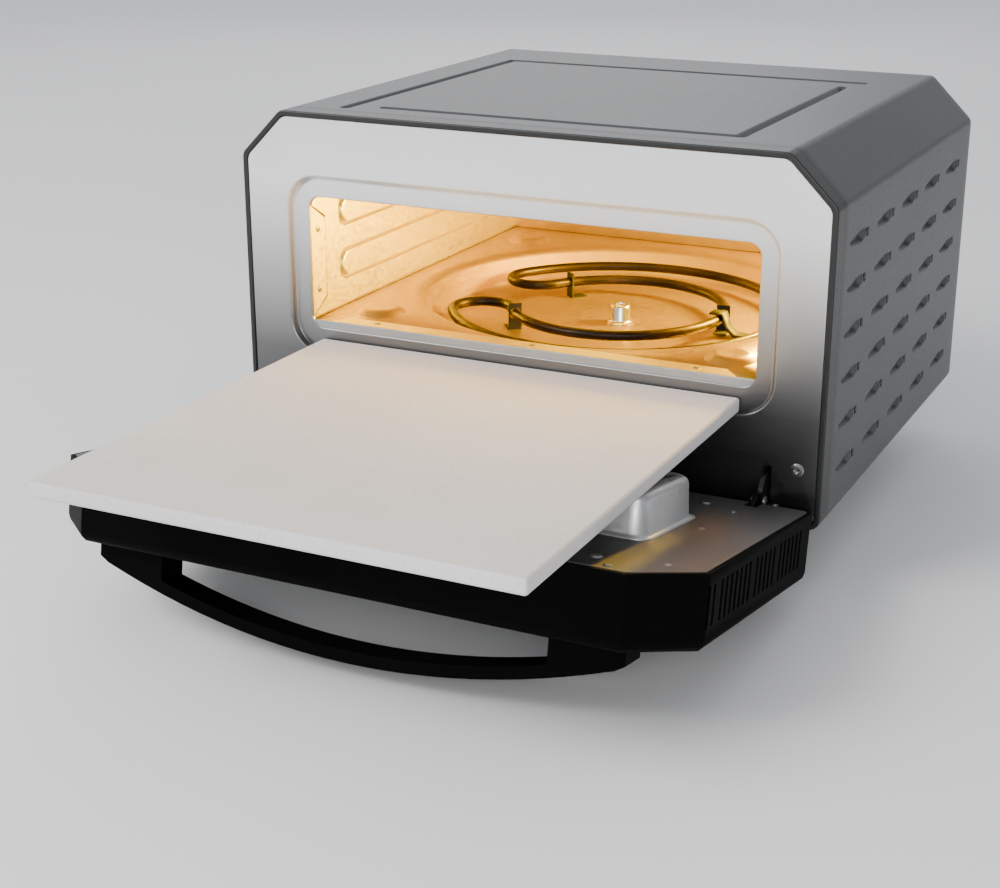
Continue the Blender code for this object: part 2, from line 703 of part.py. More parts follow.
def make_clip(name, angle, element_z, base_z, body):
    """An angle bracket: its upright has a hole round the tube and its foot is fixed."""
    tube_height = abs(element_z - base_z)
    rise = tube_height + TUBE_RADIUS + CLIP_OVER_TUBE
    width = TUBE_RADIUS + CLIP_BESIDE_TUBE
    hole = circle((0, tube_height), TUBE_RADIUS + CLIP_HOLE_SLACK, 16)
    upright = prism([rectangle(-width, width, 2 * GAP, rise), hole], 0, CLIP_THICKNESS, "YZ")
    foot = box((-CLIP_FOOT, -width, GAP), (CLIP_THICKNESS / 2, width, GAP + CLIP_THICKNESS))
    hanging = Matrix.Rotation(math.pi, 4, "X") if element_z < base_z else Matrix.Identity(4)
    upright.transform(hanging)
    foot.transform(hanging)
    location = (RING_INNER * math.cos(angle), CAVITY_MIDDLE + RING_INNER * math.sin(angle),
                base_z)
    turn = (0, 0, angle + math.pi / 2)
    clip = place(name, upright, STEEL, body, location, turn)
    tool = cutter(f"{name}_foot", foot, body)
    tool.location = location
    tool.rotation_euler = turn
    cut(clip, tool, "UNION")


def make_elements(body):
    make_element("lower_element", LOWER_ELEMENT, body)
    make_element("upper_element", UPPER_ELEMENT, body)
    for place_name, degrees in CLIP_ANGLES.items():
        make_clip(f"lower_clip_{place_name}", math.radians(degrees), LOWER_ELEMENT,
                  DISH_BOTTOM, body)
        make_clip(f"upper_clip_{place_name}", math.radians(degrees), UPPER_ELEMENT,
                  CEILING_HEIGHT + GAP, body)


def make_probe(body):
    """The capped temperature sensor in the middle of the dish."""
    mesh = rod(PROBE_RADIUS, 0, PROBE_HEIGHT, tip=PROBE_RADIUS * 0.9)
    probe = place("temperature_probe", mesh, STEEL, body,
                  (PROBE_X, CAVITY_MIDDLE, DISH_BOTTOM + GAP))
    round_edges(probe, 0.0012)


def make_lamp(body):
    """Holder, bulb and lens in the right wall, near the back and the ceiling."""
    y = CAVITY_BACK - LAMP_SETBACK
    z = CEILING_HEIGHT - LAMP_DROP
    wall = CAVITY_HALF_WIDTH + GAP
    lens = rod(LAMP_RADIUS - GAP, wall - 0.001, wall + 0.003, "YZ", (y, z))
    place("lamp_lens", lens, GLASS_CLEAR, body)
    bulb = rod(BULB_RADIUS, wall + 0.005, wall + 0.005 + BULB_LENGTH, "YZ", (y, z),
               tip=BULB_RADIUS * 0.7)
    round_edges(place("lamp_bulb", bulb, BULB, body), 0.003)
    flange = wall + SHEET + GAP
    collar_end = flange + LAMP_COLLAR_LENGTH
    outline = circle((y, z), LAMP_RADIUS + LAMP_COLLAR)
    bore = circle((y, z), LAMP_RADIUS + 0.001)
    collar = place("lamp_holder", prism([outline, bore], flange, collar_end, "YZ"),
                   CERAMIC, body)
    back = rod(LAMP_RADIUS + LAMP_COLLAR, collar_end - 0.0025, collar_end + 0.004, "YZ", (y, z))
    cut(collar, cutter("lamp_holder_back", back, body), "UNION")


def make_insulation(body):
    half = CAVITY_HALF_WIDTH
    low = CEILING_HEIGHT + SHEET + 2 * GAP
    high = HEIGHT - SHEET - INSULATION_CLEARANCE
    blanket = box((-half, CAVITY_FRONT + 0.010, low), (half, CAVITY_BACK, high))
    round_edges(place("insulation_top", blanket, WOOL, body), 0.004)
    near = CAVITY_BACK + SHEET + 2 * GAP
    far = DEPTH - SHEET - INSULATION_CLEARANCE / 2
    blanket = box((-half + 0.010, near, FLOOR_HEIGHT + 0.005),
                  (half - 0.010, far, CEILING_HEIGHT - 0.004))
    round_edges(place("insulation_rear", blanket, WOOL, body), 0.002)


def make_inside_fittings(body):
    """Thermal cut-out on the cavity's left wall, and the mains terminal block."""
    wall = CAVITY_HALF_WIDTH + SHEET + 2 * GAP
    cutout = rod(CUTOUT_RADIUS, wall, wall + CUTOUT_RADIUS, "YZ",
                 (CAVITY_MIDDLE, CEILING_HEIGHT - CUTOUT_BELOW_CEILING))
    thing = place("thermal_cutout", cutout, CERAMIC, body, (0, 2 * CAVITY_MIDDLE, 0),
                  (0, 0, math.pi))
    round_edges(thing, 0.001)
    low_x, high_x = (GLAND_X + offset for offset in TERMINAL_BESIDE_GLAND)
    base = 2 * SHEET + 2 * GAP
    y = DEPTH - TERMINAL_FROM_REAR
    block = box((low_x, y, base), (high_x, y + TERMINAL_LENGTH, base + TERMINAL_HEIGHT))
    round_edges(place("terminal_block", block, CERAMIC, body), 0.0015)


def make_cord_gland(body):
    """The bush that the mains lead leaves through, with an open bore."""
    flange, end = SHEET + GAP, SHEET + GLAND_REACH
    profile = [(GLAND_BORE, -GLAND_INSIDE), (GLAND_RADIUS, -GLAND_INSIDE),
               (GLAND_RADIUS, flange), (GLAND_FLANGE_RADIUS, flange),
               (GLAND_FLANGE_RADIUS, SHEET + GLAND_FLANGE), (GLAND_RADIUS - 0.002, end),
               (GLAND_BORE, end)]
    gland = place("cord_gland", turned(list(reversed(profile))), RUBBER, body,
                  (GLAND_X, DEPTH - SHEET, GLAND_HEIGHT), (-math.pi / 2, 0, 0))
    spin(gland)


def make_panel_screws(body):
    face = PANEL_SETBACK - GAP
    x = WIDTH / 2 - PANEL_SCREW_FROM_SIDE
    for name, at in (("panel_screw_left", -x), ("panel_screw_right", x)):
        head = rod(SCREW_RADIUS, -face, -face + SCREW_HEIGHT, "XZ", (at, PANEL_SCREW_HEIGHT),
                   tip=SCREW_RADIUS * 0.7, steps=16)
        place(name, head, STEEL, body)


# ---------------------------------------------------------------- hinges

def make_hinge_brackets(body):
    """Fixed plates that come out of the panel's slots and carry the hinge pins."""
    y, z = -HINGE_FORWARD, HINGE_HEIGHT
    low, top = HINGE_SLOT_LOW, HINGE_SLOT_HIGH - 0.004
    eye = arc((y, z), HINGE_EYE_RADIUS, 160, 330, 10)
    tail = [(0.012, z), (0.016, low), (BRACKET_REACH, low), (BRACKET_REACH, top)]
    arch = arc((0.0, z + HINGE_FORWARD), top - z - HINGE_FORWARD, 90, 180, 6)
    outline = eye + tail + arch
    for side, name in ((-1, "hinge_bracket_left"), (1, "hinge_bracket_right")):
        near = side * HINGE_X - HINGE_PLATE / 2
        plate = place(name, prism([outline], near, near + HINGE_PLATE, "YZ"), ELEMENT, body)
        inner = side * (HINGE_X - HINGE_PLATE / 2 + 0.001)
        end = inner - side * (HINGE_PLATE + 0.004)
        pin = rod(HINGE_PIN_RADIUS, min(inner, end), max(inner, end), "YZ", (y, z))
        cut(plate, cutter(f"{name}_pin", pin, body), "UNION")


def make_hinge_arms(door):
    """Door-side plates: an eye on the pin, and a tail inside the door."""
    eye = arc((0, 0), HINGE_EYE_RADIUS, 200, 370, 10)
    tail = [(-0.004, 0.016), (-0.006, 0.032), (-0.016, 0.032), (-0.016, 0.014)]
    outline = eye + tail
    hole = circle((0, 0), HINGE_PIN_RADIUS + HINGE_PIN_SLACK)
    for side, name in ((-1, "hinge_arm_left"), (1, "hinge_arm_right")):
        near = side * (HINGE_X - HINGE_PLATE / 2 - GAP)
        far = near - side * HINGE_PLATE
        mesh = prism([outline, hole], min(near, far), max(near, far), "YZ")
        place(name, mesh, ELEMENT, door)


# ---------------------------------------------------------------- door

def hinge_notches():
    spans = []
    for side in (-1, 1):
        middle = side * (HINGE_X - HINGE_PLATE / 2)
        half = HINGE_PLATE + NOTCH_MARGIN
        spans.append(((middle - half, -0.018, 0.0), (middle + half, 0.004, 0.0225)))
    return spans


def vent_slots():
    """Slots in both side walls, in groups counted from the handle end."""
    spans = []
    middle = -VENT_BELOW_PLATE
    z = DOOR_LENGTH - VENT_START
    for group in VENT_GROUPS:
        for _ in range(group):
            for side in (-1, 1):
                x = side * DOOR_HALF_WIDTH
                spans.append(((x - 0.006, middle - VENT_LENGTH / 2, z - VENT_WIDTH / 2),
                              (x + 0.006, middle + VENT_LENGTH / 2, z + VENT_WIDTH / 2)))
            z -= VENT_PITCH
        z -= VENT_GROUP_GAP
    return spans


def make_door_shell(door):
    """A deep tray with round outer edges, open towards the oven."""
    rings = [lift(door_outline(), -GAP)]
    for degrees in (0, 30, 60, 90):
        angle = math.radians(degrees)
        inset = DOOR_EDGE_ROUND * (1 - math.cos(angle))
        depth = DOOR_THICKNESS - DOOR_EDGE_ROUND * (1 - math.sin(angle))
        rings.append(lift(door_outline(inset), -depth))
    shell = place("door_shell", loft(rings, cap=True), BLACK, door)
    outer = min(shell.data.polygons, key=lambda face: face.center.y)
    thicken(shell, DOOR_WALL, -1 if outer.normal.y < 0 else 1)
    cut(shell, cutter("shell_notches", boxes(hinge_notches()), door))
    cut(shell, cutter("shell_vents", boxes(vent_slots()), door))
    face = -DOOR_THICKNESS
    low, high = face - 0.002, face + DOOR_WALL + 0.001
    window = [((-WINDOW_HALF_WIDTH, low, WINDOW_LOW), (WINDOW_HALF_WIDTH, high, WINDOW_HIGH)),
              ((DISPLAY_X - DISPLAY_HALF_WIDTH, low, CONTROL_MIDDLE - DISPLAY_HALF_HEIGHT),
               (DISPLAY_X + DISPLAY_HALF_WIDTH, high, CONTROL_MIDDLE + DISPLAY_HALF_HEIGHT))]
    cut(shell, cutter("shell_windows", boxes(window), door))
    for index, x in enumerate((DIAL_X,) + BUTTON_XS):
        hole = rod(SHAFT_RADIUS + FASCIA_HOLE_SLACK, -high, -low, "XZ", (x, CONTROL_MIDDLE),
                   steps=16)
        cut(shell, cutter(f"shell_shaft_{index}", hole, door))


def make_inner_plate(door):
    """The steel sheet that closes the door's oven side."""
    inset = DOOR_WALL + GAP
    margin = LINER_WALL + 0.010
    hole = rectangle(-LINER_HALF_WIDTH + margin, LINER_HALF_WIDTH - margin,
                     LINER_LOW + margin, LINER_HIGH - margin)
    mesh = prism([door_outline(inset), hole], 0, SHEET, "XZ")
    plate = place("door_inner_plate", mesh, STEEL, door)
    cut(plate, cutter("plate_notches", boxes(hinge_notches()), door))


def make_liner(door):
    """A raised pressed box with a window in its face."""
    rings = []
    outline = (-LINER_HALF_WIDTH, LINER_HALF_WIDTH, LINER_LOW, LINER_HIGH)
    for inset, y in ((0.0, GAP), (0.0, LINER_HEIGHT - LINER_ROUND),
                     (LINER_ROUND * 0.3, LINER_HEIGHT - LINER_ROUND * 0.3),
                     (LINER_ROUND, LINER_HEIGHT)):
        ring = rounded(outline[0] + inset, outline[1] - inset, outline[2] + inset,
                       outline[3] - inset, LINER_ROUND * 1.6 - inset, 3)
        rings.append(lift(ring, y))
    liner = place("door_liner", loft(rings, cap=True), ALUMINISED, door)
    top = max(liner.data.polygons, key=lambda face: face.center.y)
    thicken(liner, LINER_WALL, -1 if top.normal.y > 0 else 1)
    margin = LINER_WINDOW_MARGIN
    hole = box((outline[0] + margin, LINER_HEIGHT - 0.004, outline[2] + margin),
               (outline[1] - margin, LINER_HEIGHT + 0.002, outline[3] - margin))
    cut(liner, cutter("liner_window", hole, door))
    seat = LINER_HEIGHT - LINER_WALL - GAP
    lip = margin - GLASS_LAP
    glass = box((outline[0] + lip, seat - GLASS, outline[2] + lip),
                (outline[1] - lip, seat, outline[3] - lip))
    place("inner_window_glass", glass, GLASS_CLEAR, door)


def make_outer_window(door):
    glass = box((-WINDOW_HALF_WIDTH - GLASS_LAP, DOOR_INSIDE, WINDOW_LOW - GLASS_LAP),
                (WINDOW_HALF_WIDTH + GLASS_LAP, DOOR_INSIDE + GLASS, WINDOW_HIGH + GLASS_LAP))
    place("outer_window_glass", glass, GLASS_DARK, door)


def make_handle(door):
    """An arched strap that leaves a finger gap between it and the door's face."""
    root = DOOR_THICKNESS + GAP
    ends = DOOR_THICKNESS + HANDLE_END_REACH
    middle = DOOR_THICKNESS + HANDLE_MIDDLE_REACH
    half, gap_half = HANDLE_HALF_LENGTH, HANDLE_GAP_HALF_LENGTH
    shoulder = half - HANDLE_CORNER

    def bow(x, at_end, at_middle, reach):
        return -(at_end + (at_middle - at_end) * (1 - (x / reach) ** 2))

    steps = 24
    outer = []
    for i in range(steps + 1):
        x = -shoulder + 2 * shoulder * i / steps
        outer.append((x, bow(x, ends, middle, shoulder)))
    at_gap_end = -bow(gap_half, ends, middle, shoulder) - HANDLE_STRAP
    inner = []
    for i in range(steps + 1):
        x = gap_half - 2 * gap_half * i / steps
        inner.append((x, bow(x, at_gap_end, middle - HANDLE_STRAP, gap_half)))
    outline = ([(-half, -root), (-half, -ends + HANDLE_CORNER * 0.6)] + outer
               + [(half, -ends + HANDLE_CORNER * 0.6), (half, -root), (gap_half, -root)]
               + inner + [(-gap_half, -root)])
    high = DOOR_LENGTH - HANDLE_SETBACK
    mesh = prism([outline], high - HANDLE_WIDTH, high, "XY")
    handle = place("handle", mesh, BLACK, door)
    round_edges(handle, 0.0016)


def make_controls(door):
    """Fascia, display, board, rotary dial and push buttons on the door's outer face."""
    face = DOOR_THICKNESS + GAP
    holes = [circle((DIAL_X, CONTROL_MIDDLE), SHAFT_RADIUS + FASCIA_HOLE_SLACK, 16)]
    holes += [circle((x, CONTROL_MIDDLE), BUTTON_RADIUS + BUTTON_SLACK) for x in BUTTON_XS]
    outline = rounded(-CONTROL_HALF_WIDTH, CONTROL_HALF_WIDTH, CONTROL_LOW, CONTROL_HIGH, 0.004)
    place("control_fascia", prism([outline] + holes, face, face + FASCIA, "XZ"), GLASS_DARK, door)
    display = box((DISPLAY_X - DISPLAY_HALF_WIDTH + GAP, -DOOR_THICKNESS,
                   CONTROL_MIDDLE - DISPLAY_HALF_HEIGHT + GAP),
                  (DISPLAY_X + DISPLAY_HALF_WIDTH - GAP, DOOR_INSIDE + GLASS,
                   CONTROL_MIDDLE + DISPLAY_HALF_HEIGHT - GAP))
    place("display", display, DISPLAY, door)
    board_y = -DOOR_THICKNESS + BOARD_DEPTH
    board = box((-CONTROL_HALF_WIDTH + BOARD_INSET, board_y, CONTROL_LOW + 0.006),
                (CONTROL_HALF_WIDTH - BOARD_INSET, board_y + BOARD_THICKNESS,
                 CONTROL_HIGH - 0.002))
    place("control_board", board, BOARD, door)
    stem_end = -(BOARD_DEPTH - 0.002 - DOOR_WALL)
    rise = FASCIA + GAP
    dial = [(0, stem_end), (SHAFT_RADIUS, stem_end), (SHAFT_RADIUS, rise + 2 * GAP),
            (DIAL_RADIUS, rise + 2 * GAP), (DIAL_RADIUS * 0.94, rise + DIAL_HEIGHT - 0.001),
            (DIAL_RADIUS * 0.88, rise + DIAL_HEIGHT), (0, rise + DIAL_HEIGHT)]
    knob = place("dial_knob", turned(list(reversed(dial))), ALUMINIUM, door,
                 (DIAL_X, -DOOR_THICKNESS, CONTROL_MIDDLE), (math.pi / 2, 0, 0))
    spin(knob)
    for index, x in enumerate(BUTTON_XS):
        top = rise + BUTTON_HEIGHT
        under = rise + GAP + BUTTON_TRAVEL - FASCIA
        stem_depth = stem_end + BUTTON_TRAVEL
        profile = [(0, stem_depth), (SHAFT_RADIUS * 0.8, stem_depth),
                   (SHAFT_RADIUS * 0.8, under), (BUTTON_RADIUS, under),
                   (BUTTON_RADIUS, top - 0.0005), (BUTTON_RADIUS - 0.0005, top), (0, top)]
        button = place(f"button_{index + 1}", turned(list(reversed(profile))), ALUMINIUM,
                       door, (x, -DOOR_THICKNESS, CONTROL_MIDDLE), (math.pi / 2, 0, 0))
        spin(button)


def make_door_screws(door):
    """Heads in the inner plate's corners."""
    for side, x in (("left", -1), ("right", 1)):
        for end, z in (("handle", DOOR_LENGTH - DOOR_SCREW_FROM_END),
                       ("hinge", DOOR_SCREW_FROM_HINGE)):
            head = rod(SCREW_RADIUS * 0.75, -SHEET - GAP, -GAP, "XZ", (x * DOOR_SCREW_X, z),
                       steps=16, tip=SCREW_RADIUS * 0.9)
            place(f"door_screw_{end}_{side}", head, STEEL, door)


def make_stone(body):
    low = (-STONE_WIDTH / 2, -FRONT_REACH, STONE_BOTTOM)
    high = (STONE_WIDTH / 2, STONE_OVERLAP, STONE_BOTTOM + STONE_THICKNESS)
    centre = (Vector(low) + Vector(high)) / 2
    half = (Vector(high) - Vector(low)) / 2
    stone = place("pizza_stone", box(-half, half), STONE, body, centre)
    round_edges(stone, STONE_ROUND)


# ---------------------------------------------------------------- assembly

clear_scene()
OVEN = new_collection("countertop_pizza_oven")
CUTTERS = new_collection("cutters")
PAINT = finish("grey_paint", (0.15, 0.16, 0.16), 0.45, 0.3)
DARK_PAINT = finish("dark_paint", (0.05, 0.053, 0.056), 0.5, 0.2)
STEEL = finish("brushed_steel", (0.55, 0.55, 0.55), 0.35, 1.0)
ALUMINISED = finish("aluminised_steel", (0.62, 0.60, 0.56), 0.4, 1.0)
ELEMENT = finish("sheathed_element", (0.06, 0.045, 0.035), 0.55, 0.6)
BLACK = finish("black_plastic", (0.012, 0.012, 0.013), 0.5, 0.0)
RUBBER = finish("rubber", (0.02, 0.02, 0.02), 0.8, 0.0)
CERAMIC = finish("ceramic", (0.8, 0.78, 0.74), 0.5, 0.0)
STONE = finish("cordierite", (0.66, 0.64, 0.62), 0.85, 0.0)
WOOL = finish("mineral_wool", (0.75, 0.70, 0.55), 0.95, 0.0)
GLASS_CLEAR = finish("clear_glass", (0.9, 0.92, 0.92), 0.05, 0.0, 0.3)
GLASS_DARK = finish("dark_glass", (0.01, 0.01, 0.012), 0.08, 0.0)
BULB = finish("lit_bulb", (1.0, 0.8, 0.5), 0.2, 0.0)
DISPLAY = finish("display_window", (0.02, 0.03, 0.04), 0.1, 0.0)
BOARD = finish("circuit_board", (0.02, 0.15, 0.06), 0.6, 0.0)
ALUMINIUM = finish("satin_aluminium", (0.7, 0.7, 0.71), 0.3, 1.0)

BODY_FRAME = empty("body_frame", (0, SHIFT_Y, FOOT_HEIGHT))
DOOR_FRAME = empty("door_hinge", (0, -HINGE_FORWARD, HINGE_HEIGHT), BODY_FRAME,
                   DOOR_OPEN_ANGLE)

for make in (make_outer_housing, make_front_bezel, make_front_panel, make_rear_panel,
             make_base_pan, make_feet, make_cavity_floor, make_cavity_walls, make_elements,
             make_probe, make_lamp, make_insulation, make_inside_fittings, make_cord_gland,
             make_panel_screws, make_hinge_brackets, make_stone):
    make(BODY_FRAME)
for make in (make_hinge_arms, make_door_shell, make_inner_plate, make_liner,
             make_outer_window, make_handle, make_controls, make_door_screws):
    make(DOOR_FRAME)
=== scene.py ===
"""The looks of the countertop pizza oven: fine sheet work, finishes, light and camera."""
import json
import math

import bmesh
import bpy
from mathutils import Matrix, Vector


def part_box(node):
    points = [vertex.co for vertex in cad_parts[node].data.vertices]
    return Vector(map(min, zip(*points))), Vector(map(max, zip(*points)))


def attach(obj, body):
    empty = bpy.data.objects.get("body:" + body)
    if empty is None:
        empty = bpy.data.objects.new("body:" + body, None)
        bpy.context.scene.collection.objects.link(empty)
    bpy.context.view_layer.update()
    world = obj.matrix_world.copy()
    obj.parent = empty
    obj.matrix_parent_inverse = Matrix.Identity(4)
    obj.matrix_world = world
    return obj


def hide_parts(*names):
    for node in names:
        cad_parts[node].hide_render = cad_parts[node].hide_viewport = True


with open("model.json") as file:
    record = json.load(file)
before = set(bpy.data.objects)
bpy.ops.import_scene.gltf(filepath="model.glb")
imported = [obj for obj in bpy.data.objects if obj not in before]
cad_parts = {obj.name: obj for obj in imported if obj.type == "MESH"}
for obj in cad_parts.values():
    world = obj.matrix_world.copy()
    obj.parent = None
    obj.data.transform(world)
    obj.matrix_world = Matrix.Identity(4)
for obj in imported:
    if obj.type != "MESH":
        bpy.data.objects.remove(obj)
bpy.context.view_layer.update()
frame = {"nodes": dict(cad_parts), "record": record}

# ---------------------------------------------------------------- places taken from the frame

FRONT_Y, BASE_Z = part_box("front_bezel")[0][1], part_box("front_bezel")[0][2]
BODY = Matrix.Translation((0, FRONT_Y, BASE_Z))
HALF_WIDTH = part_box("front_bezel")[1][0]
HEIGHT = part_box("front_bezel")[1][2] - BASE_Z
WRAP_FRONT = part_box("outer_housing")[0][1] - FRONT_Y
WRAP_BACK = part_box("outer_housing")[1][1] - FRONT_Y
WALL_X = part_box("cavity_wall_right")[0][0]
CAVITY_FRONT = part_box("cavity_wall_right")[0][1] - FRONT_Y
CAVITY_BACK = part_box("cavity_wall_right")[1][1] - FRONT_Y
CAVITY_MIDDLE = (CAVITY_FRONT + CAVITY_BACK) / 2
FLOOR_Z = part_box("cavity_wall_right")[0][2] - BASE_Z
CEILING_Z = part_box("cavity_ceiling")[0][2] - BASE_Z
PANEL_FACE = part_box("front_panel")[0][1] - FRONT_Y

JOINTS = {joint["name"]: joint for joint in frame["record"]["behaviour"]["joints"]}
HINGE = JOINTS["door_hinge"]
OPEN_ANGLE = math.radians(-HINGE["range_deg"][0])
DOOR = Matrix.Translation(HINGE["pos_m"]) @ Matrix.Rotation(OPEN_ANGLE, 4, "X")

# ---------------------------------------------------------------- sizes in metres

TOP_CHAMFER = 0.032
BOTTOM_ROUND = 0.008
FLANGE = 0.020
SHEET = 0.0011
SHEET_BEND = 0.007
BEZEL_WALL = 0.004
RIM_HALF_WIDTH, RIM_LOW, RIM_HIGH, RIM_ROUND = 0.180, 0.0712, 0.1990, 0.024
OPENING_HALF_WIDTH, OPENING_LOW, OPENING_HIGH = 0.1655, 0.0885, 0.1829
OPENING_ROUND = 0.009
RIM_DEPTH = 0.0055
HINGE_X, SLOT_HALF, SLOT_LOW, SLOT_HIGH = 0.178, 0.003, 0.0105, 0.0395
DISH_RADIUS, DISH_FLAT, DISH_DEPTH = 0.148, 0.135, 0.024
RING_INNER, RING_OUTER, LEAD_SPREAD, BEND_ANGLE = 0.081, 0.126, 0.026, math.radians(150)
LOUVRE_Y, LOUVRE_PITCH_Y, LOUVRE_COLUMNS = 0.062, 0.0648, 5
LOUVRE_Z, LOUVRE_PITCH_Z, LOUVRE_ROWS = 0.032, 0.0302, 6
GROOVE_HALF, GROOVE_DEPTH = 0.0044, 0.0034
DOOR_THICKNESS = 0.0455
LINER_LOW, LINER_HIGH, LINER_HALF_WIDTH, LINER_ROUND = 0.0765, 0.1599, 0.158, 0.0105
LAMP_SETBACK, LAMP_DROP, LAMP_HOLE = 0.060, 0.055, 0.020
BAR_FRONT, BAR_BACK, BAR_HALF, BAR_HEIGHTS = 0.042, 0.030, 0.0105, (0.0310, 0.0710)
BUMP_X, BUMP_INSET = 0.134, 0.042
AMBER = (1.0, 0.60, 0.02)

# ---------------------------------------------------------------- finishes


def new_finish(name, **sockets):
    """A Principled material with the sockets that are the same all over the surface."""
    material = bpy.data.materials.new(name)
    material.use_nodes = True
    shader = material.node_tree.nodes["Principled BSDF"]
    for socket, value in sockets.items():
        shader.inputs[socket.replace("_", " ")].default_value = value
    return material, material.node_tree, shader


def noise(tree, scale, stretch=(1, 1, 1), detail=3.0, roughness=0.55):
    """Noise over the object's own coordinates, stretched by a mapping."""
    place = tree.nodes.new("ShaderNodeTexCoord")
    mapping = tree.nodes.new("ShaderNodeMapping")
    mapping.inputs["Scale"].default_value = stretch
    grain = tree.nodes.new("ShaderNodeTexNoise")
    grain.inputs["Scale"].default_value = scale
    grain.inputs["Detail"].default_value = detail
    grain.inputs["Roughness"].default_value = roughness
    tree.links.new(place.outputs["Object"], mapping.inputs["Vector"])
    tree.links.new(mapping.outputs["Vector"], grain.inputs["Vector"])
    return grain.outputs["Fac"]


def ramp(tree, source, *stops):
    """Colours or greys at places along a value."""
    colours = tree.nodes.new("ShaderNodeValToRGB")
    while len(colours.color_ramp.elements) < len(stops):
        colours.color_ramp.elements.new(0.5)
    for element, (position, colour) in zip(colours.color_ramp.elements, stops):
        element.position = position
        element.color = (*colour, 1.0)
    tree.links.new(source, colours.inputs["Fac"])
    return colours.outputs["Color"]


def spread(tree, source, low, high):
    """A value stretched from 0..1 noise to low..high."""
    node = tree.nodes.new("ShaderNodeMapRange")
    node.inputs["From Min"].default_value = 0.3
    node.inputs["From Max"].default_value = 0.7
    node.inputs["To Min"].default_value = low
    node.inputs["To Max"].default_value = high
    tree.links.new(source, node.inputs["Value"])
    return node.outputs["Result"]


def add_bump(tree, shader, height, strength, distance):
    bump = tree.nodes.new("ShaderNodeBump")
    bump.inputs["Strength"].default_value = strength
    bump.inputs["Distance"].default_value = distance
    tree.links.new(height, bump.inputs["Height"])
    tree.links.new(bump.outputs["Normal"], shader.inputs["Normal"])


def shade(value, tone=(1.0, 1.0, 1.0)):
    return tuple(value * part for part in tone)


def powder_coat(name, value, tone, roughness):
    """Baked paint: faint cloudiness, fine orange peel."""
    material, tree, shader = new_finish(name, Metallic=0.25, Coat_Weight=0.12,
                                        Coat_Roughness=0.35)
    cloud = noise(tree, 9.0, detail=2.0)
    colour = ramp(tree, cloud, (0.25, shade(value * 0.90, tone)), (0.75, shade(value * 1.1, tone)))
    tree.links.new(colour, shader.inputs["Base Color"])
    peel = noise(tree, 900.0, detail=2.0)
    tree.links.new(spread(tree, peel, roughness - 0.05, roughness + 0.06),
                   shader.inputs["Roughness"])
    add_bump(tree, shader, peel, 0.22, 0.0002)
    return material


def brushed(name, value, tone, roughness, stretch=(2.5, 260, 260), streak=0.12):
    """Sheet steel with long fine scratches and a slow cloud over them."""
    material, tree, shader = new_finish(name, Metallic=1.0, Anisotropic=0.45)
    scratch = noise(tree, 6.0, stretch, detail=6.0, roughness=0.7)
    colour = ramp(tree, scratch, (0.30, shade(value * (1 - streak), tone)),
                  (0.70, shade(value * (1 + streak * 0.6), tone)))
    tree.links.new(colour, shader.inputs["Base Color"])
    tree.links.new(spread(tree, scratch, roughness - 0.06, roughness + 0.08),
                   shader.inputs["Roughness"])
    add_bump(tree, shader, scratch, 0.10, 0.00015)
    return material


def front_steel():
    """Brushed front sheet, with painted shade that darkens its colour towards the foot."""
    material, tree, shader = new_finish("brushed_steel", Metallic=1.0, Anisotropic=0.45)
    scratch = noise(tree, 6.0, (2.5, 260, 260), detail=6.0, roughness=0.7)
    grain = ramp(tree, scratch, (0.30, shade(0.90)), (0.70, shade(0.97)))
    place = tree.nodes.new("ShaderNodeTexCoord")
    axes = tree.nodes.new("ShaderNodeSeparateXYZ")
    tree.links.new(place.outputs["Object"], axes.inputs["Vector"])
    height = tree.nodes.new("ShaderNodeMapRange")
    height.inputs["From Min"].default_value = BASE_Z
    height.inputs["From Max"].default_value = BASE_Z + HEIGHT
    tree.links.new(axes.outputs["Z"], height.inputs["Value"])
    # Painted shade: the colour darkens towards the foot, standing in for the shade the open door and
    # stone cast there.
    painted_shade = ramp(tree, height.outputs["Result"], (0.05, shade(0.09)), (0.30, shade(0.17)),
                (0.55, shade(0.52)), (0.80, shade(1.0)))
    mix = tree.nodes.new("ShaderNodeMix")
    mix.data_type = "RGBA"
    mix.blend_type = "MULTIPLY"
    mix.inputs["Factor"].default_value = 1.0
    tree.links.new(grain, mix.inputs["A"])
    tree.links.new(painted_shade, mix.inputs["B"])
    tree.links.new(mix.outputs["Result"], shader.inputs["Base Color"])
    tree.links.new(spread(tree, scratch, 0.28, 0.42), shader.inputs["Roughness"])
    add_bump(tree, shader, scratch, 0.10, 0.00015)
    return material


def aluminised(name, value, tone, roughness):
    """Hot-dipped sheet: soft mottling and a fine dull grain."""
    material, tree, shader = new_finish(name, Metallic=0.92)
    mottle = noise(tree, 38.0, detail=5.0)
    colour = ramp(tree, mottle, (0.30, shade(value * 0.94, tone)), (0.72, shade(value * 1.04, tone)))
    tree.links.new(colour, shader.inputs["Base Color"])
    grain = noise(tree, 420.0, (1, 0.4, 1), detail=3.0)
    tree.links.new(spread(tree, grain, roughness - 0.05, roughness + 0.10),
                   shader.inputs["Roughness"])
    add_bump(tree, shader, grain, 0.12, 0.0002)
    return material


def moulded(name, value, roughness, texture=1500.0, strength=0.25, specular=0.45):
    """Textured black plastic or rubber."""
    material, tree, shader = new_finish(name, Metallic=0.0)
    shader.inputs["Specular IOR Level"].default_value = specular
    cloud = noise(tree, 14.0, detail=2.0)
    colour = ramp(tree, cloud, (0.3, shade(value * 0.8)), (0.7, shade(value * 1.25)))
    tree.links.new(colour, shader.inputs["Base Color"])
    grain = noise(tree, texture, detail=2.0)
    tree.links.new(spread(tree, grain, roughness - 0.05, roughness + 0.07),
                   shader.inputs["Roughness"])
    add_bump(tree, shader, grain, strength, 0.0002)
    return material


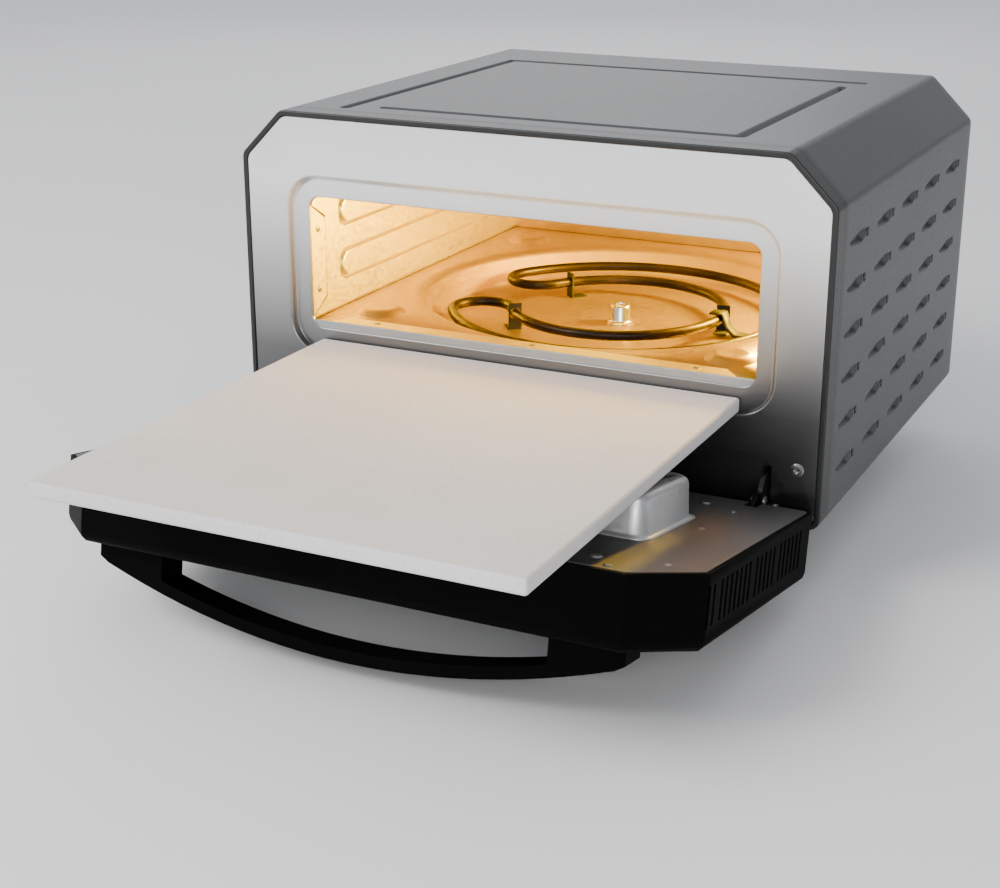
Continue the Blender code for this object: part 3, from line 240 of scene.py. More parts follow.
def element_sheath():
    """Heat-darkened tube: brown-black oxide with lighter brown patches."""
    material, tree, shader = new_finish("element_sheath", Metallic=0.75)
    tint = noise(tree, 24.0, detail=4.0)
    colour = ramp(tree, tint, (0.25, (0.008, 0.005, 0.003)), (0.5, (0.020, 0.012, 0.007)),
                  (0.75, (0.045, 0.027, 0.013)))
    tree.links.new(colour, shader.inputs["Base Color"])
    grain = noise(tree, 700.0, detail=3.0)
    tree.links.new(spread(tree, grain, 0.30, 0.48), shader.inputs["Roughness"])
    add_bump(tree, shader, grain, 0.15, 0.0002)
    return material


def fired_stone():
    """Cordierite: off-white, matt, with fine darker and lighter grains."""
    material, tree, shader = new_finish("cordierite_stone", Metallic=0.0)
    shader.inputs["Specular IOR Level"].default_value = 0.25
    cloud = noise(tree, 7.0, detail=4.0)
    base = ramp(tree, cloud, (0.3, (0.640, 0.612, 0.600)), (0.7, (0.715, 0.690, 0.680)))
    speck = noise(tree, 520.0, detail=3.0, roughness=0.7)
    dots = ramp(tree, speck, (0.30, (0.72, 0.70, 0.67)), (0.42, (1.0, 1.0, 1.0)),
                (0.72, (1.0, 1.0, 1.0)))
    mix = tree.nodes.new("ShaderNodeMix")
    mix.data_type = "RGBA"
    mix.blend_type = "MULTIPLY"
    mix.inputs["Factor"].default_value = 0.8
    tree.links.new(base, mix.inputs["A"])
    tree.links.new(dots, mix.inputs["B"])
    tree.links.new(mix.outputs["Result"], shader.inputs["Base Color"])
    tree.links.new(spread(tree, speck, 0.72, 0.9), shader.inputs["Roughness"])
    add_bump(tree, shader, speck, 0.35, 0.0003)
    return material


def glass(name, colour, alpha, roughness=0.04):
    """Thin tempered glass with faint smears in its polish."""
    material, tree, shader = new_finish(name, Base_Color=(*colour, 1.0), Alpha=alpha)
    smear = noise(tree, 16.0, (1, 3, 1), detail=4.0)
    tree.links.new(spread(tree, smear, roughness, roughness + 0.08), shader.inputs["Roughness"])
    return material


def lit_bulb():
    material, tree, shader = new_finish("bulb_glass", Roughness=0.2)
    glow = noise(tree, 90.0, detail=1.0)
    colour = ramp(tree, glow, (0.3, (1.0, 0.62, 0.25)), (0.7, (1.0, 0.80, 0.45)))
    tree.links.new(colour, shader.inputs["Base Color"])
    tree.links.new(colour, shader.inputs["Emission Color"])
    shader.inputs["Emission Strength"].default_value = 6.0
    return material


def circuit_board():
    """Green resist with pale traces laid out in a brick pattern."""
    material, tree, shader = new_finish("circuit_board", Roughness=0.35)
    place = tree.nodes.new("ShaderNodeTexCoord")
    bricks = tree.nodes.new("ShaderNodeTexBrick")
    bricks.inputs["Scale"].default_value = 160.0
    bricks.inputs["Color1"].default_value = (0.010, 0.090, 0.035, 1)
    bricks.inputs["Color2"].default_value = (0.014, 0.120, 0.048, 1)
    bricks.inputs["Mortar"].default_value = (0.05, 0.22, 0.09, 1)
    tree.links.new(place.outputs["Object"], bricks.inputs["Vector"])
    tree.links.new(bricks.outputs["Color"], shader.inputs["Base Color"])
    return material


def fibre_wool():
    material, tree, shader = new_finish("mineral_wool", Roughness=0.95)
    strand = noise(tree, 60.0, (1, 6, 2), detail=6.0, roughness=0.75)
    colour = ramp(tree, strand, (0.3, (0.42, 0.36, 0.22)), (0.7, (0.80, 0.74, 0.55)))
    tree.links.new(colour, shader.inputs["Base Color"])
    add_bump(tree, shader, strand, 0.9, 0.002)
    return material


def fired_ceramic(name, value, tone, roughness):
    """Unglazed electrical ceramic."""
    material, tree, shader = new_finish(name, Metallic=0.0)
    grain = noise(tree, 260.0, detail=4.0)
    colour = ramp(tree, grain, (0.3, shade(value * 0.92, tone)), (0.7, shade(value, tone)))
    tree.links.new(colour, shader.inputs["Base Color"])
    tree.links.new(spread(tree, grain, roughness - 0.08, roughness + 0.08),
                   shader.inputs["Roughness"])
    add_bump(tree, shader, grain, 0.2, 0.0003)
    return material


COOL = (0.965, 1.0, 1.01)
WARM = (1.0, 0.955, 0.86)
# The next two tints are painted lamp light: warm colour that stands in for the amber cavity lamp on
# the plain sheet.
LAMP_GLOW_TINT = (1.0, 0.70, 0.13)
WALL_LAMP_GLOW_TINT = (1.0, 0.88, 0.20)
NEUTRAL = (1.0, 1.0, 1.0)
FINISHES = {
    "grey_paint": powder_coat("grey_paint", 0.052, COOL, 0.44),
    "dark_paint": powder_coat("dark_paint", 0.013, COOL, 0.42),
    "brushed_steel": front_steel(),
    "galvanised_steel": aluminised("galvanised_steel", 0.46, COOL, 0.45),
    # The cavity sheet's warm tint is painted lamp light.
    "cavity_steel": aluminised("cavity_steel", 0.50, LAMP_GLOW_TINT, 0.37),
    # The walls and tabs get a paler, straw-tinted copy of the cavity sheet: painted light where the
    # lamp falls brightest, on the same sheet as the floor.
    "wall_steel_painted_light": aluminised("wall_steel_painted_light", 0.82, WALL_LAMP_GLOW_TINT, 0.37),
    "element_sheath": element_sheath(),
    "probe_steel": brushed("probe_steel", 0.72, WARM, 0.22, (60, 60, 300), 0.06),
    "clip_steel": moulded("clip_steel", 0.010, 0.55, 700.0, 0.2, 0.30),
    "lamp_glass": glass("lamp_glass", (0.95, 0.90, 0.80), 0.35),
    "bulb_glass": lit_bulb(),
    "ceramic": fired_ceramic("ceramic", 0.80, WARM, 0.5),
    "mineral_wool": fibre_wool(),
    "rubber": moulded("rubber", 0.018, 0.75, 900.0),
    "screw_steel": brushed("screw_steel", 0.30, NEUTRAL, 0.32, (40, 40, 40), 0.1),
    "hinge_steel": brushed("hinge_steel", 0.05, NEUTRAL, 0.38),
    "cordierite_stone": fired_stone(),
    "door_plastic": moulded("door_plastic", 0.0012, 0.58, 1400.0, 0.10, 0.03),
    "door_steel": brushed("door_steel", 0.16, NEUTRAL, 0.46),
    "liner_steel": aluminised("liner_steel", 0.64, NEUTRAL, 0.42),
    "window_glass": glass("window_glass", (0.03, 0.03, 0.032), 0.75),
    "tinted_glass": glass("tinted_glass", (0.010, 0.010, 0.012), 0.86, 0.03),
    "handle_plastic": moulded("handle_plastic", 0.0012, 0.54, 1400.0, 0.08, 0.03),
    "fascia_glass": glass("fascia_glass", (0.006, 0.006, 0.007), 1.0, 0.06),
    "display_window": glass("display_window", (0.010, 0.020, 0.026), 1.0, 0.05),
    "circuit_board": circuit_board(),
    "dial_metal": brushed("dial_metal", 0.60, NEUTRAL, 0.26, (80, 80, 80), 0.07),
    "button_metal": brushed("button_metal", 0.60, NEUTRAL, 0.28, (80, 80, 80), 0.07),
    "foot_plastic": moulded("foot_plastic", 0.012, 0.5),
}
NODE_SLOTS = {part["node"]: part["material_slot"] for part in frame["record"]["subparts"]}
BODY_OF = {node: body for body, nodes in frame["record"]["behaviour"]["bodies"].items()
           for node in nodes}

# ---------------------------------------------------------------- shaping helpers

MERGE_DISTANCE, FLAT_ANGLE = 0.000005, math.radians(0.6)
TUBE_SIDES = 14


def keep(bm, name, slot, body="oven", matrix=BODY, nodes=(), sharp=35, wall=0.0, offset=-1.0,
         finish=""):
    """A bmesh as a piece that rides on a body and stands for nodes; finish, if not the slot's."""
    bm.transform(matrix)
    mesh = bpy.data.meshes.new(name)
    bm.to_mesh(mesh)
    bm.free()
    mesh.shade_smooth()
    mesh.set_sharp_from_angle(angle=math.radians(sharp))
    mesh.materials.append(FINISHES[finish or slot])
    piece = bpy.data.objects.new(name, mesh)
    bpy.context.scene.collection.objects.link(piece)
    if wall:
        thick = piece.modifiers.new("wall", "SOLIDIFY")
        thick.thickness = wall
        thick.offset = offset
    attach(piece, body)
    if nodes:
        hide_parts(*nodes)
    return piece


def even_normals(piece):
    """Large flat faces keep flat shading beside small round ones."""
    weighted = piece.modifiers.new("even", "WEIGHTED_NORMAL")
    weighted.keep_sharp = True
    return piece


def refined(node):
    """A merged copy of a CAD node's mesh in the node's place, with even normals."""
    bm = bmesh.new()
    bm.from_mesh(frame["nodes"][node].data)
    bmesh.ops.remove_doubles(bm, verts=bm.verts, dist=MERGE_DISTANCE)
    bmesh.ops.dissolve_limit(bm, angle_limit=FLAT_ANGLE, verts=bm.verts, edges=bm.edges)
    piece = keep(bm, f"{node}_fine", NODE_SLOTS[node], BODY_OF[node], Matrix.Identity(4), (node,))
    return even_normals(piece)


def grid(columns, rows):
    """A flat grid whose vertices carry their column and row numbers."""
    bm = bmesh.new()
    bmesh.ops.create_grid(bm, x_segments=columns - 1, y_segments=rows - 1, size=1.0)
    cells = {}
    for vert in bm.verts:
        i = round((vert.co.x + 1) / 2 * (columns - 1))
        j = round((vert.co.y + 1) / 2 * (rows - 1))
        cells[vert] = (i, j)
    return bm, cells


def ring(bm, half_width, low, high, radius, y, segments=8):
    """A rounded rectangular loop of edges in the XZ plane."""
    corners = [bm.verts.new((x, y, z)) for x, z in
               ((-half_width, low), (half_width, low), (half_width, high), (-half_width, high))]
    bm.faces.new(corners)
    made = bmesh.ops.bevel(bm, geom=corners, offset=radius, segments=segments, profile=0.5,
                           affect="VERTICES", material=-1)
    face = made["verts"][0].link_faces[0]
    edges = list(face.edges)
    bmesh.ops.delete(bm, geom=[face], context="FACES_ONLY")
    return edges


def block(low, high, bevel=0.0, segments=3):
    bm = bmesh.new()
    bmesh.ops.create_cube(bm, size=1.0)
    low, high = Vector(low), Vector(high)
    bmesh.ops.scale(bm, vec=high - low, verts=bm.verts)
    bmesh.ops.translate(bm, vec=(low + high) / 2, verts=bm.verts)
    if bevel:
        bmesh.ops.bevel(bm, geom=bm.edges, offset=bevel, segments=segments, profile=0.5,
                        affect="EDGES", material=-1)
    return bm


def spun(profile, steps=48):
    """A solid turned round Z from points (radius, height)."""
    bm = bmesh.new()
    points = [bm.verts.new((radius, 0, height)) for radius, height in profile]
    edges = [bm.edges.new(pair) for pair in zip(points, points[1:])]
    bmesh.ops.spin(bm, geom=points + edges, cent=(0, 0, 0), axis=(0, 0, 1),
                   angle=2 * math.pi, steps=steps, use_merge=True)
    bmesh.ops.remove_doubles(bm, verts=bm.verts, dist=0.000005)
    bmesh.ops.recalc_face_normals(bm, faces=bm.faces)
    return bm


def merged(bmeshes):
    """Several bmeshes as one."""
    whole = bmesh.new()
    for part in bmeshes:
        mesh = bpy.data.meshes.new("part")
        part.to_mesh(mesh)
        part.free()
        whole.from_mesh(mesh)
        bpy.data.meshes.remove(mesh)
    return whole


def smoothstep(value, low, high):
    t = min(max((value - low) / (high - low), 0.0), 1.0)
    return t * t * (3 - 2 * t)


def stations(marks, low, high, step):
    """Sorted grid lines between low and high: the marks, and more where they lie far apart."""
    inside = sorted({round(mark, 5) for mark in marks if low < mark < high} | {low, high})
    lines = [inside[0]]
    for mark in inside[1:]:
        gap = mark - lines[-1]
        if gap < 0.0003:
            continue
        parts = max(1, round(gap / step))
        start = lines[-1]
        lines += [start + gap * (k + 1) / parts for k in range(parts)]
    lines[-1] = high
    return lines


# ---------------------------------------------------------------- housing

LOUVRE_RAMP, LOUVRE_HALF = 0.034, 0.0040
LOUVRE_LINES_Y = (-0.0355, -0.034, -0.031, -0.026, -0.020, -0.014, -0.009, -0.006, -0.0045,
                  -0.0035, -0.0025, -0.0015, -0.0005, 0.0005, 0.0015, 0.0025, 0.0035, 0.0045,
                  0.006, 0.0085, 0.0105, 0.0115, 0.0125)
LOUVRE_LINES_Z = (-0.0052, -0.0044, -0.0037, -0.003, -0.0022, -0.0014, -0.0006, 0.0006,
                  0.0014, 0.0022, 0.003, 0.0037, 0.0044, 0.0052)


def louvre_relief(dy, dz):
    """How far the side wall stands out at a place near a louvre's lip."""
    width = LOUVRE_HALF * (0.35 + 0.65 * smoothstep(dy, -LOUVRE_RAMP, -0.004))
    across = max(0.0, 1 - (abs(dz) / width) ** 2)
    ramp_in = smoothstep(dy, -LOUVRE_RAMP, -0.024) * (1 - smoothstep(dy, -0.0045, -0.0015))
    lip = smoothstep(dy, -0.003, -0.0005) * (1 - smoothstep(dy, 0.0010, 0.0035))
    narrow = max(0.0, 1 - (abs(dz) / (LOUVRE_HALF * 0.75)) ** 2)
    slit = smoothstep(dy, 0.0035, 0.005) * (1 - smoothstep(dy, 0.0095, 0.0110))
    return across * (0.0014 * lip - 0.0028 * ramp_in) - narrow ** 0.5 * 0.0028 * slit


def louvre_at(y, z):
    column = min(max(round((y - LOUVRE_Y) / LOUVRE_PITCH_Y + 0.15), 0), LOUVRE_COLUMNS - 1)
    row = min(max(round((z - LOUVRE_Z) / LOUVRE_PITCH_Z), 0), LOUVRE_ROWS - 1)
    return y - LOUVRE_Y - column * LOUVRE_PITCH_Y, z - LOUVRE_Z - row * LOUVRE_PITCH_Z


GROOVE_LINES = (-0.0052, -0.0044, -0.0034, -0.0024, -0.0014, -0.0005, 0.0005, 0.0014, 0.0024,
                0.0034, 0.0044, 0.0052)
# Two L-shaped grooves in the top, as legs ((x, y), (x, y))
GROOVES = (((-0.148, 0.030), (-0.148, 0.298)), ((-0.148, 0.298), (0.146, 0.298)),
           ((-0.122, 0.040), (0.137, 0.040)), ((0.137, 0.040), (0.137, 0.272)))


def groove_relief(x, y):
    nearest = 1.0
    for (x0, y0), (x1, y1) in GROOVES:
        dx = max(min(x0, x1) - x, 0.0, x - max(x0, x1))
        dy = max(min(y0, y1) - y, 0.0, y - max(y0, y1))
        nearest = min(nearest, math.hypot(dx, dy))
    return -GROOVE_DEPTH * (1 - smoothstep(nearest, 0.0004, GROOVE_HALF))


def bend_points(centre, radius, start, end, steps):
    """Stations round a bend: place, and the direction that faces outwards."""
    points = []
    for k in range(steps + 1):
        angle = math.radians(start + (end - start) * k / steps)
        out = (math.cos(angle), math.sin(angle))
        points.append((centre[0] + radius * out[0], centre[1] + radius * out[1], *out))
    return points


def wrap_section():
    """Stations across the wrapped sheet from its right lower edge to its left one."""
    half, high, bend = HALF_WIDTH, HEIGHT, SHEET_BEND
    tangent = bend * math.tan(math.pi / 8)
    rows = [LOUVRE_Z + k * LOUVRE_PITCH_Z + dz for k in range(LOUVRE_ROWS)
            for dz in LOUVRE_LINES_Z]
    side = stations(rows, BOTTOM_ROUND + 0.001, high - TOP_CHAMFER - tangent - 0.001, 0.012)
    right = [(half - FLANGE, 0.0, 0.0, -1.0)]
    right += bend_points((half - BOTTOM_ROUND, BOTTOM_ROUND), BOTTOM_ROUND, -90, 0, 6)
    right += [(half, z, 1.0, 0.0) for z in side]
    right += bend_points((half - bend, high - TOP_CHAMFER - tangent), bend, 0, 45, 5)
    right += bend_points((half - TOP_CHAMFER - tangent, high - bend), bend, 45, 90, 5)
    marks = [x + d for x in (-0.148, 0.152, -0.122, 0.137) for d in GROOVE_LINES]
    edge = half - TOP_CHAMFER - tangent - 0.001
    top = [(x, high, 0.0, 1.0) for x in reversed(stations(marks, -edge, edge, 0.02))]
    left = [(-x, z, -nx, nz) for x, z, nx, nz in reversed(right)]
    return right + top + left


def make_housing():
    columns = [LOUVRE_Y + k * LOUVRE_PITCH_Y + dy for k in range(LOUVRE_COLUMNS)
               for dy in LOUVRE_LINES_Y]
    columns += [y + d for y in (0.030, 0.040, 0.298, 0.272) for d in GROOVE_LINES]
    depths = stations(columns, WRAP_FRONT, WRAP_BACK, 0.012)
    section = wrap_section()
    bm, cells = grid(len(section), len(depths))
    for vert, (i, j) in cells.items():
        x, z, out_x, out_z = section[i]
        y = depths[j]
        relief = 0.0
        if abs(out_x) == 1.0:
            relief = louvre_relief(*louvre_at(y, z))
        elif out_z == 1.0:
            relief = groove_relief(x, y)
        vert.co = (x + out_x * relief, y, z + out_z * relief)
    slits = []
    for face in bm.faces:
        centre = face.calc_center_median()
        dy, dz = louvre_at(centre.y, centre.z)
        if abs(centre.x) > HALF_WIDTH - 0.004 and 0.0045 < dy < 0.0105 and abs(dz) < 0.0022:
            if BOTTOM_ROUND < centre.z < HEIGHT - TOP_CHAMFER:
                slits.append(face)
    bmesh.ops.delete(bm, geom=slits, context="FACES")
    bmesh.ops.recalc_face_normals(bm, faces=bm.faces)
    top = max(bm.faces, key=lambda face: face.calc_center_median().z)
    if top.normal.z < 0:
        bmesh.ops.reverse_faces(bm, faces=bm.faces)
    even_normals(keep(bm, "housing_wrap", "grey_paint", nodes=("outer_housing",), sharp=50,
                      wall=SHEET))


def body_face(bm, inset, y):
    """The body's front outline as one face: straight upper cuts, round lower corners."""
    half, low, high = HALF_WIDTH - inset, inset, HEIGHT - inset
    cut = TOP_CHAMFER - inset * (2 - math.sqrt(2))
    points = ((-half, low), (half, low), (half, high - cut), (half - cut, high),
              (-half + cut, high), (-half, high - cut))
    verts = [bm.verts.new((x, y, z)) for x, z in points]
    bm.faces.new(verts)
    bmesh.ops.bevel(bm, geom=verts[:2], offset=max(BOTTOM_ROUND - inset, 0.002), segments=5,
                    profile=0.5, affect="VERTICES", material=-1)
    bmesh.ops.bevel(bm, geom=[v for v in bm.verts if v.co.z > high - cut - 1e-5],
                    offset=0.003, segments=3, profile=0.5, affect="VERTICES", material=-1)
    return max(bm.faces, key=lambda f: f.calc_area())


def make_bezel():
    bm = bmesh.new()
    face = body_face(bm, 0.0, 0.0)
    rim = bmesh.ops.inset_region(bm, faces=[face], thickness=BEZEL_WALL, use_even_offset=True,
                                 use_boundary=True)
    bmesh.ops.delete(bm, geom=[face], context="FACES")
    made = bmesh.ops.extrude_face_region(bm, geom=rim["faces"])
    moved = [item for item in made["geom"] if isinstance(item, bmesh.types.BMVert)]
    bmesh.ops.translate(bm, vec=(0, WRAP_FRONT - 0.0003, 0), verts=moved)
    bmesh.ops.recalc_face_normals(bm, faces=bm.faces)
    front = [e for e in bm.edges if all(abs(v.co.y) < 1e-6 for v in e.verts)
             and e.calc_face_angle(0) > 1]
    bmesh.ops.bevel(bm, geom=front, offset=0.0011, segments=3, profile=0.5, affect="EDGES",
                    material=-1)
    even_normals(keep(bm, "bezel_frame", "dark_paint", nodes=("front_bezel",)))


def make_front_panel():
    """Pressed sheet: flat face, a rolled step round the rim, flat floor, rolled opening."""
    bm = bmesh.new()
    face = body_face(bm, BEZEL_WALL + 0.0004, PANEL_FACE)
    outer = list(face.edges)
    bmesh.ops.delete(bm, geom=[face], context="FACES_ONLY")
    loops = [outer]
    for inset, depth in ((-0.0010, 0.0), (0.0, 0.0003), (0.0009, 0.0012), (0.0014, 0.0028),
                         (0.0020, 0.0044), (0.0032, 0.0053), (0.0044, RIM_DEPTH)):
        loops.append(ring(bm, RIM_HALF_WIDTH - inset, RIM_LOW + min(inset, 0.0004),
                          RIM_HIGH - inset, RIM_ROUND - inset, PANEL_FACE + depth))
    for inset, depth in ((0.0012, 0.0), (0.0004, 0.0002), (0.0, 0.0010), (0.0, 0.0030)):
        loops.append(ring(bm, OPENING_HALF_WIDTH + inset, OPENING_LOW - inset,
                          OPENING_HIGH + inset, OPENING_ROUND + inset,
                          PANEL_FACE + RIM_DEPTH + depth))
    for first, second in zip(loops, loops[1:]):
        bmesh.ops.bridge_loops(bm, edges=first + second)
    bmesh.ops.recalc_face_normals(bm, faces=bm.faces)
    flat = max(bm.faces, key=lambda f: f.calc_area())
    if flat.normal.y > 0:
        bmesh.ops.reverse_faces(bm, faces=bm.faces)
    for side in (-1, 1):
        cut_slot(bm, side * HINGE_X)
    even_normals(keep(bm, "pressed_front_panel", "brushed_steel", nodes=("front_panel",),
                      sharp=50, wall=0.0009))


def cut_slot(bm, x):
    """Opens a hinge slot in the flat lower part of the front panel."""
    for place, normal in (((x - SLOT_HALF, 0, 0), (1, 0, 0)), ((x + SLOT_HALF, 0, 0), (1, 0, 0)),
                          ((0, 0, SLOT_LOW), (0, 0, 1)), ((0, 0, SLOT_HIGH), (0, 0, 1))):
        flat = [f for f in bm.faces if abs(f.normal.y) > 0.99
                and abs(f.calc_center_median().y - PANEL_FACE) < 1e-4
                and min(v.co.z for v in f.verts) < RIM_LOW]
        near = set(flat) | {e for f in flat for e in f.edges} | {v for f in flat for v in f.verts}
        bmesh.ops.bisect_plane(bm, geom=list(near), dist=1e-6, plane_co=place,
                               plane_no=normal)
    hole = []
    for face in bm.faces:
        centre = face.calc_center_median()
        if abs(centre.x - x) < SLOT_HALF and SLOT_LOW < centre.z < SLOT_HIGH:
            hole.append(face)
    bmesh.ops.delete(bm, geom=hole, context="FACES")


# ---------------------------------------------------------------- cavity

def bar_relief(y, z, front, back, middle, half):
    """A bar with round ends, pressed up inside a narrow sunk outline."""
    dy = max(front + half - y, 0.0, y - back + half)
    distance = math.hypot(dy, z - middle)
    line = max(0.0, 1 - (abs(distance - half) / 0.0013) ** 2)
    return 0.0007 * (1 - smoothstep(distance, half - 0.0014, half)) - 0.0030 * line


def make_cavity_walls():
    """Side walls with two long pressed bars each, seen from inside the cavity."""
    front, back = CAVITY_FRONT + BAR_FRONT, CAVITY_BACK - BAR_BACK
    bars = [(FLOOR_Z + height, BAR_HALF) for height in BAR_HEIGHTS]
    marks_z = [m + s * (h - d) for m, h in bars for s in (-1, 1)
               for d in (-0.0022, -0.0014, -0.0008, 0.0, 0.0008, 0.0014, 0.0022)]
    ys = stations([front - 0.003 + 0.0008 * k for k in range(19)]
                  + [back + 0.003 - 0.0008 * k for k in range(19)],
                  CAVITY_FRONT, CAVITY_BACK, 0.012)
    zs = stations(marks_z, FLOOR_Z, CEILING_Z, 0.0022)
    for name, side in (("left", -1), ("right", 1)):
        bm, cells = grid(len(ys), len(zs))
        for vert, (i, j) in cells.items():
            y, z = ys[i], zs[j]
            relief = sum(bar_relief(y, z, front, back, m, h) for m, h in bars)
            vert.co = (side * (WALL_X - relief), y, z)
        lamp_y, lamp_z = CAVITY_BACK - LAMP_SETBACK, CEILING_Z - LAMP_DROP
        if side > 0:
            hole = [f for f in bm.faces if math.hypot(f.calc_center_median().y - lamp_y,
                                                      f.calc_center_median().z - lamp_z) < LAMP_HOLE]
            bmesh.ops.delete(bm, geom=hole, context="FACES")
        bmesh.ops.recalc_face_normals(bm, faces=bm.faces)
        if bm.faces[:][0].normal.x * side > 0:
            bmesh.ops.reverse_faces(bm, faces=bm.faces)
        # The walls take the paler finish, painted lamp light.
        even_normals(keep(bm, f"cavity_side_{name}", "cavity_steel", sharp=60, wall=SHEET,
                          nodes=(f"cavity_wall_{name}",), finish="wall_steel_painted_light"))


def make_cavity_floor():
    """Flat sheet with a turned dish, joined to a square edge by one band of faces."""
    profile = [(0.0, FLOOR_Z - DISH_DEPTH), (0.060, FLOOR_Z - DISH_DEPTH),
               (0.066, FLOOR_Z - DISH_DEPTH + 0.0006), (DISH_FLAT - 0.006, FLOOR_Z - DISH_DEPTH),
               (DISH_FLAT - 0.001, FLOOR_Z - DISH_DEPTH + 0.0008),
               (DISH_FLAT + 0.002, FLOOR_Z - DISH_DEPTH + 0.0034),
               (DISH_RADIUS - 0.0035, FLOOR_Z - 0.0044), (DISH_RADIUS - 0.0010, FLOOR_Z - 0.0018),
               (DISH_RADIUS + 0.0030, FLOOR_Z - 0.0006), (DISH_RADIUS + 0.0045, FLOOR_Z - 0.0003)]
    bm = spun(profile, 96)
    bmesh.ops.translate(bm, vec=(0, CAVITY_MIDDLE, 0), verts=bm.verts)
    edge = [e for e in bm.edges if e.is_boundary]
    made = bmesh.ops.extrude_edge_only(bm, edges=edge)
    half_depth = (CAVITY_BACK - CAVITY_FRONT) / 2
    for item in made["geom"]:
        if isinstance(item, bmesh.types.BMVert):
            u, v = item.co.x, item.co.y - CAVITY_MIDDLE
            reach = max(abs(u), abs(v))
            item.co = (WALL_X * u / reach, CAVITY_MIDDLE + half_depth * v / reach,
                       FLOOR_Z - 0.0003)
    bmesh.ops.recalc_face_normals(bm, faces=bm.faces)
    centre = min(bm.faces, key=lambda f: f.calc_center_median().xy.length)
    if centre.normal.z < 0:
        bmesh.ops.reverse_faces(bm, faces=bm.faces)
    keep(bm, "cavity_dish_floor", "cavity_steel", nodes=("cavity_floor",), sharp=45, wall=SHEET)
    bumps = []
    bump = [(0.0185, -0.0006), (0.0175, 0.0002), (0.0150, 0.0022), (0.0128, 0.0036),
            (0.0105, 0.0040), (0.0075, 0.0036), (0.0, 0.0030)]
    for x in (-BUMP_X, BUMP_X):
        for y in (CAVITY_FRONT + BUMP_INSET, CAVITY_BACK - BUMP_INSET):
            dome = spun(bump, 40)
            bmesh.ops.translate(dome, vec=(x, y, FLOOR_Z), verts=dome.verts)
            bumps.append(dome)
    keep(merged(bumps), "floor_bumps", "cavity_steel", sharp=60)


def make_cavity_ends():
    """Ceiling and back, each with one broad pressed field."""
    for name, node in (("ceiling", "cavity_ceiling"), ("rear", "cavity_back_wall")):
        low, high = (Vector(corner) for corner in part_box(node))
        bm = block(low, high)
        axis = 2 if name == "ceiling" else 1
        face = min(bm.faces, key=lambda f: f.calc_center_median()[axis])
        bmesh.ops.inset_region(bm, faces=[face], thickness=0.030, use_even_offset=True)
        bmesh.ops.inset_region(bm, faces=[face], thickness=0.003, use_even_offset=True)
        shift = Vector((0, 0, 0))
        shift[axis] = -0.0012
        bmesh.ops.translate(bm, vec=shift, verts=face.verts)
        keep(bm, f"cavity_{name}_sheet", "cavity_steel", matrix=Matrix.Identity(4),
             nodes=(node,), sharp=20)


def tab(length, reach, chamfer, lift, thickness, matrix):
    """A flat tab with cut corners along one edge: a plate lifted off the XY plane."""
    half = length / 2
    outline = ((-half, 0.0), (half, 0.0), (half - chamfer, reach), (-half + chamfer, reach))
    bm = bmesh.new()
    bm.faces.new([bm.verts.new((along, across, lift)) for along, across in outline])
    made = bmesh.ops.extrude_face_region(bm, geom=bm.faces[:])
    moved = [item for item in made["geom"] if isinstance(item, bmesh.types.BMVert)]
    bmesh.ops.translate(bm, vec=(0, 0, thickness), verts=moved)
    bmesh.ops.recalc_face_normals(bm, faces=bm.faces)
    bm.transform(matrix)
    return bm


def make_panel_tabs():
    """Folded tabs of the front panel that lap the cavity's sides and floor, with screws, and a dark
    plate under each tab as painted shadow round its edges.
    """
    middle = (OPENING_LOW + OPENING_HIGH) / 2
    floor = Matrix.Translation((0, CAVITY_FRONT, FLOOR_Z))
    left = Matrix.Translation((-WALL_X, CAVITY_FRONT, middle)) @ Matrix(
        ((0, 0, 1, 0), (0, 1, 0, 0), (-1, 0, 0, 0), (0, 0, 0, 1)))
    right = Matrix.Translation((WALL_X, CAVITY_FRONT, middle)) @ Matrix(
        ((0, 0, -1, 0), (0, 1, 0, 0), (1, 0, 0, 0), (0, 0, 0, 1)))
    places = ((left, 0.080, 0.0185, 0.0019, (-0.022, 0.022)),
              (right, 0.080, 0.0185, 0.0019, (-0.022, 0.022)),
              (floor, 0.306, 0.0145, 0.0009, (-0.118, 0.003, 0.122)))
    tabs, shadow_plates, heads = [], [], []
    for matrix, length, reach, rise, screws in places:
        tabs.append(tab(length, reach, 0.012, rise - 0.0008, 0.0008, matrix))
        # A slightly larger dark plate beneath each tab: painted shadow along the tab's edges.
        shadow_plates.append(tab(length + 0.0034, reach + 0.0018, 0.0122, rise - 0.0012, 0.0005, matrix))
        for along in screws:
            seat = matrix @ Matrix.Translation((along, 0.0085, rise - 0.0001))
            heads.append(screw_head(0.0023, rise * 0.55, seat))
    lip = block((-OPENING_HALF_WIDTH, CAVITY_FRONT - 0.0008, OPENING_LOW - 0.001),
                (OPENING_HALF_WIDTH, CAVITY_FRONT + 0.0006, FLOOR_Z + 0.0012), 0.0005, 2)
    # The tabs take the walls' paler finish, painted lamp light.
    keep(merged(tabs), "panel_tabs", "cavity_steel", sharp=20, finish="wall_steel_painted_light")
    keep(lip, "panel_lip", "galvanised_steel", sharp=20)
    # The dark plates under the tabs are painted shadow.
    keep(merged(shadow_plates), "tab_shadow_plates", "clip_steel", sharp=20)
    keep(merged(heads), "tab_screws", "screw_steel", sharp=30)


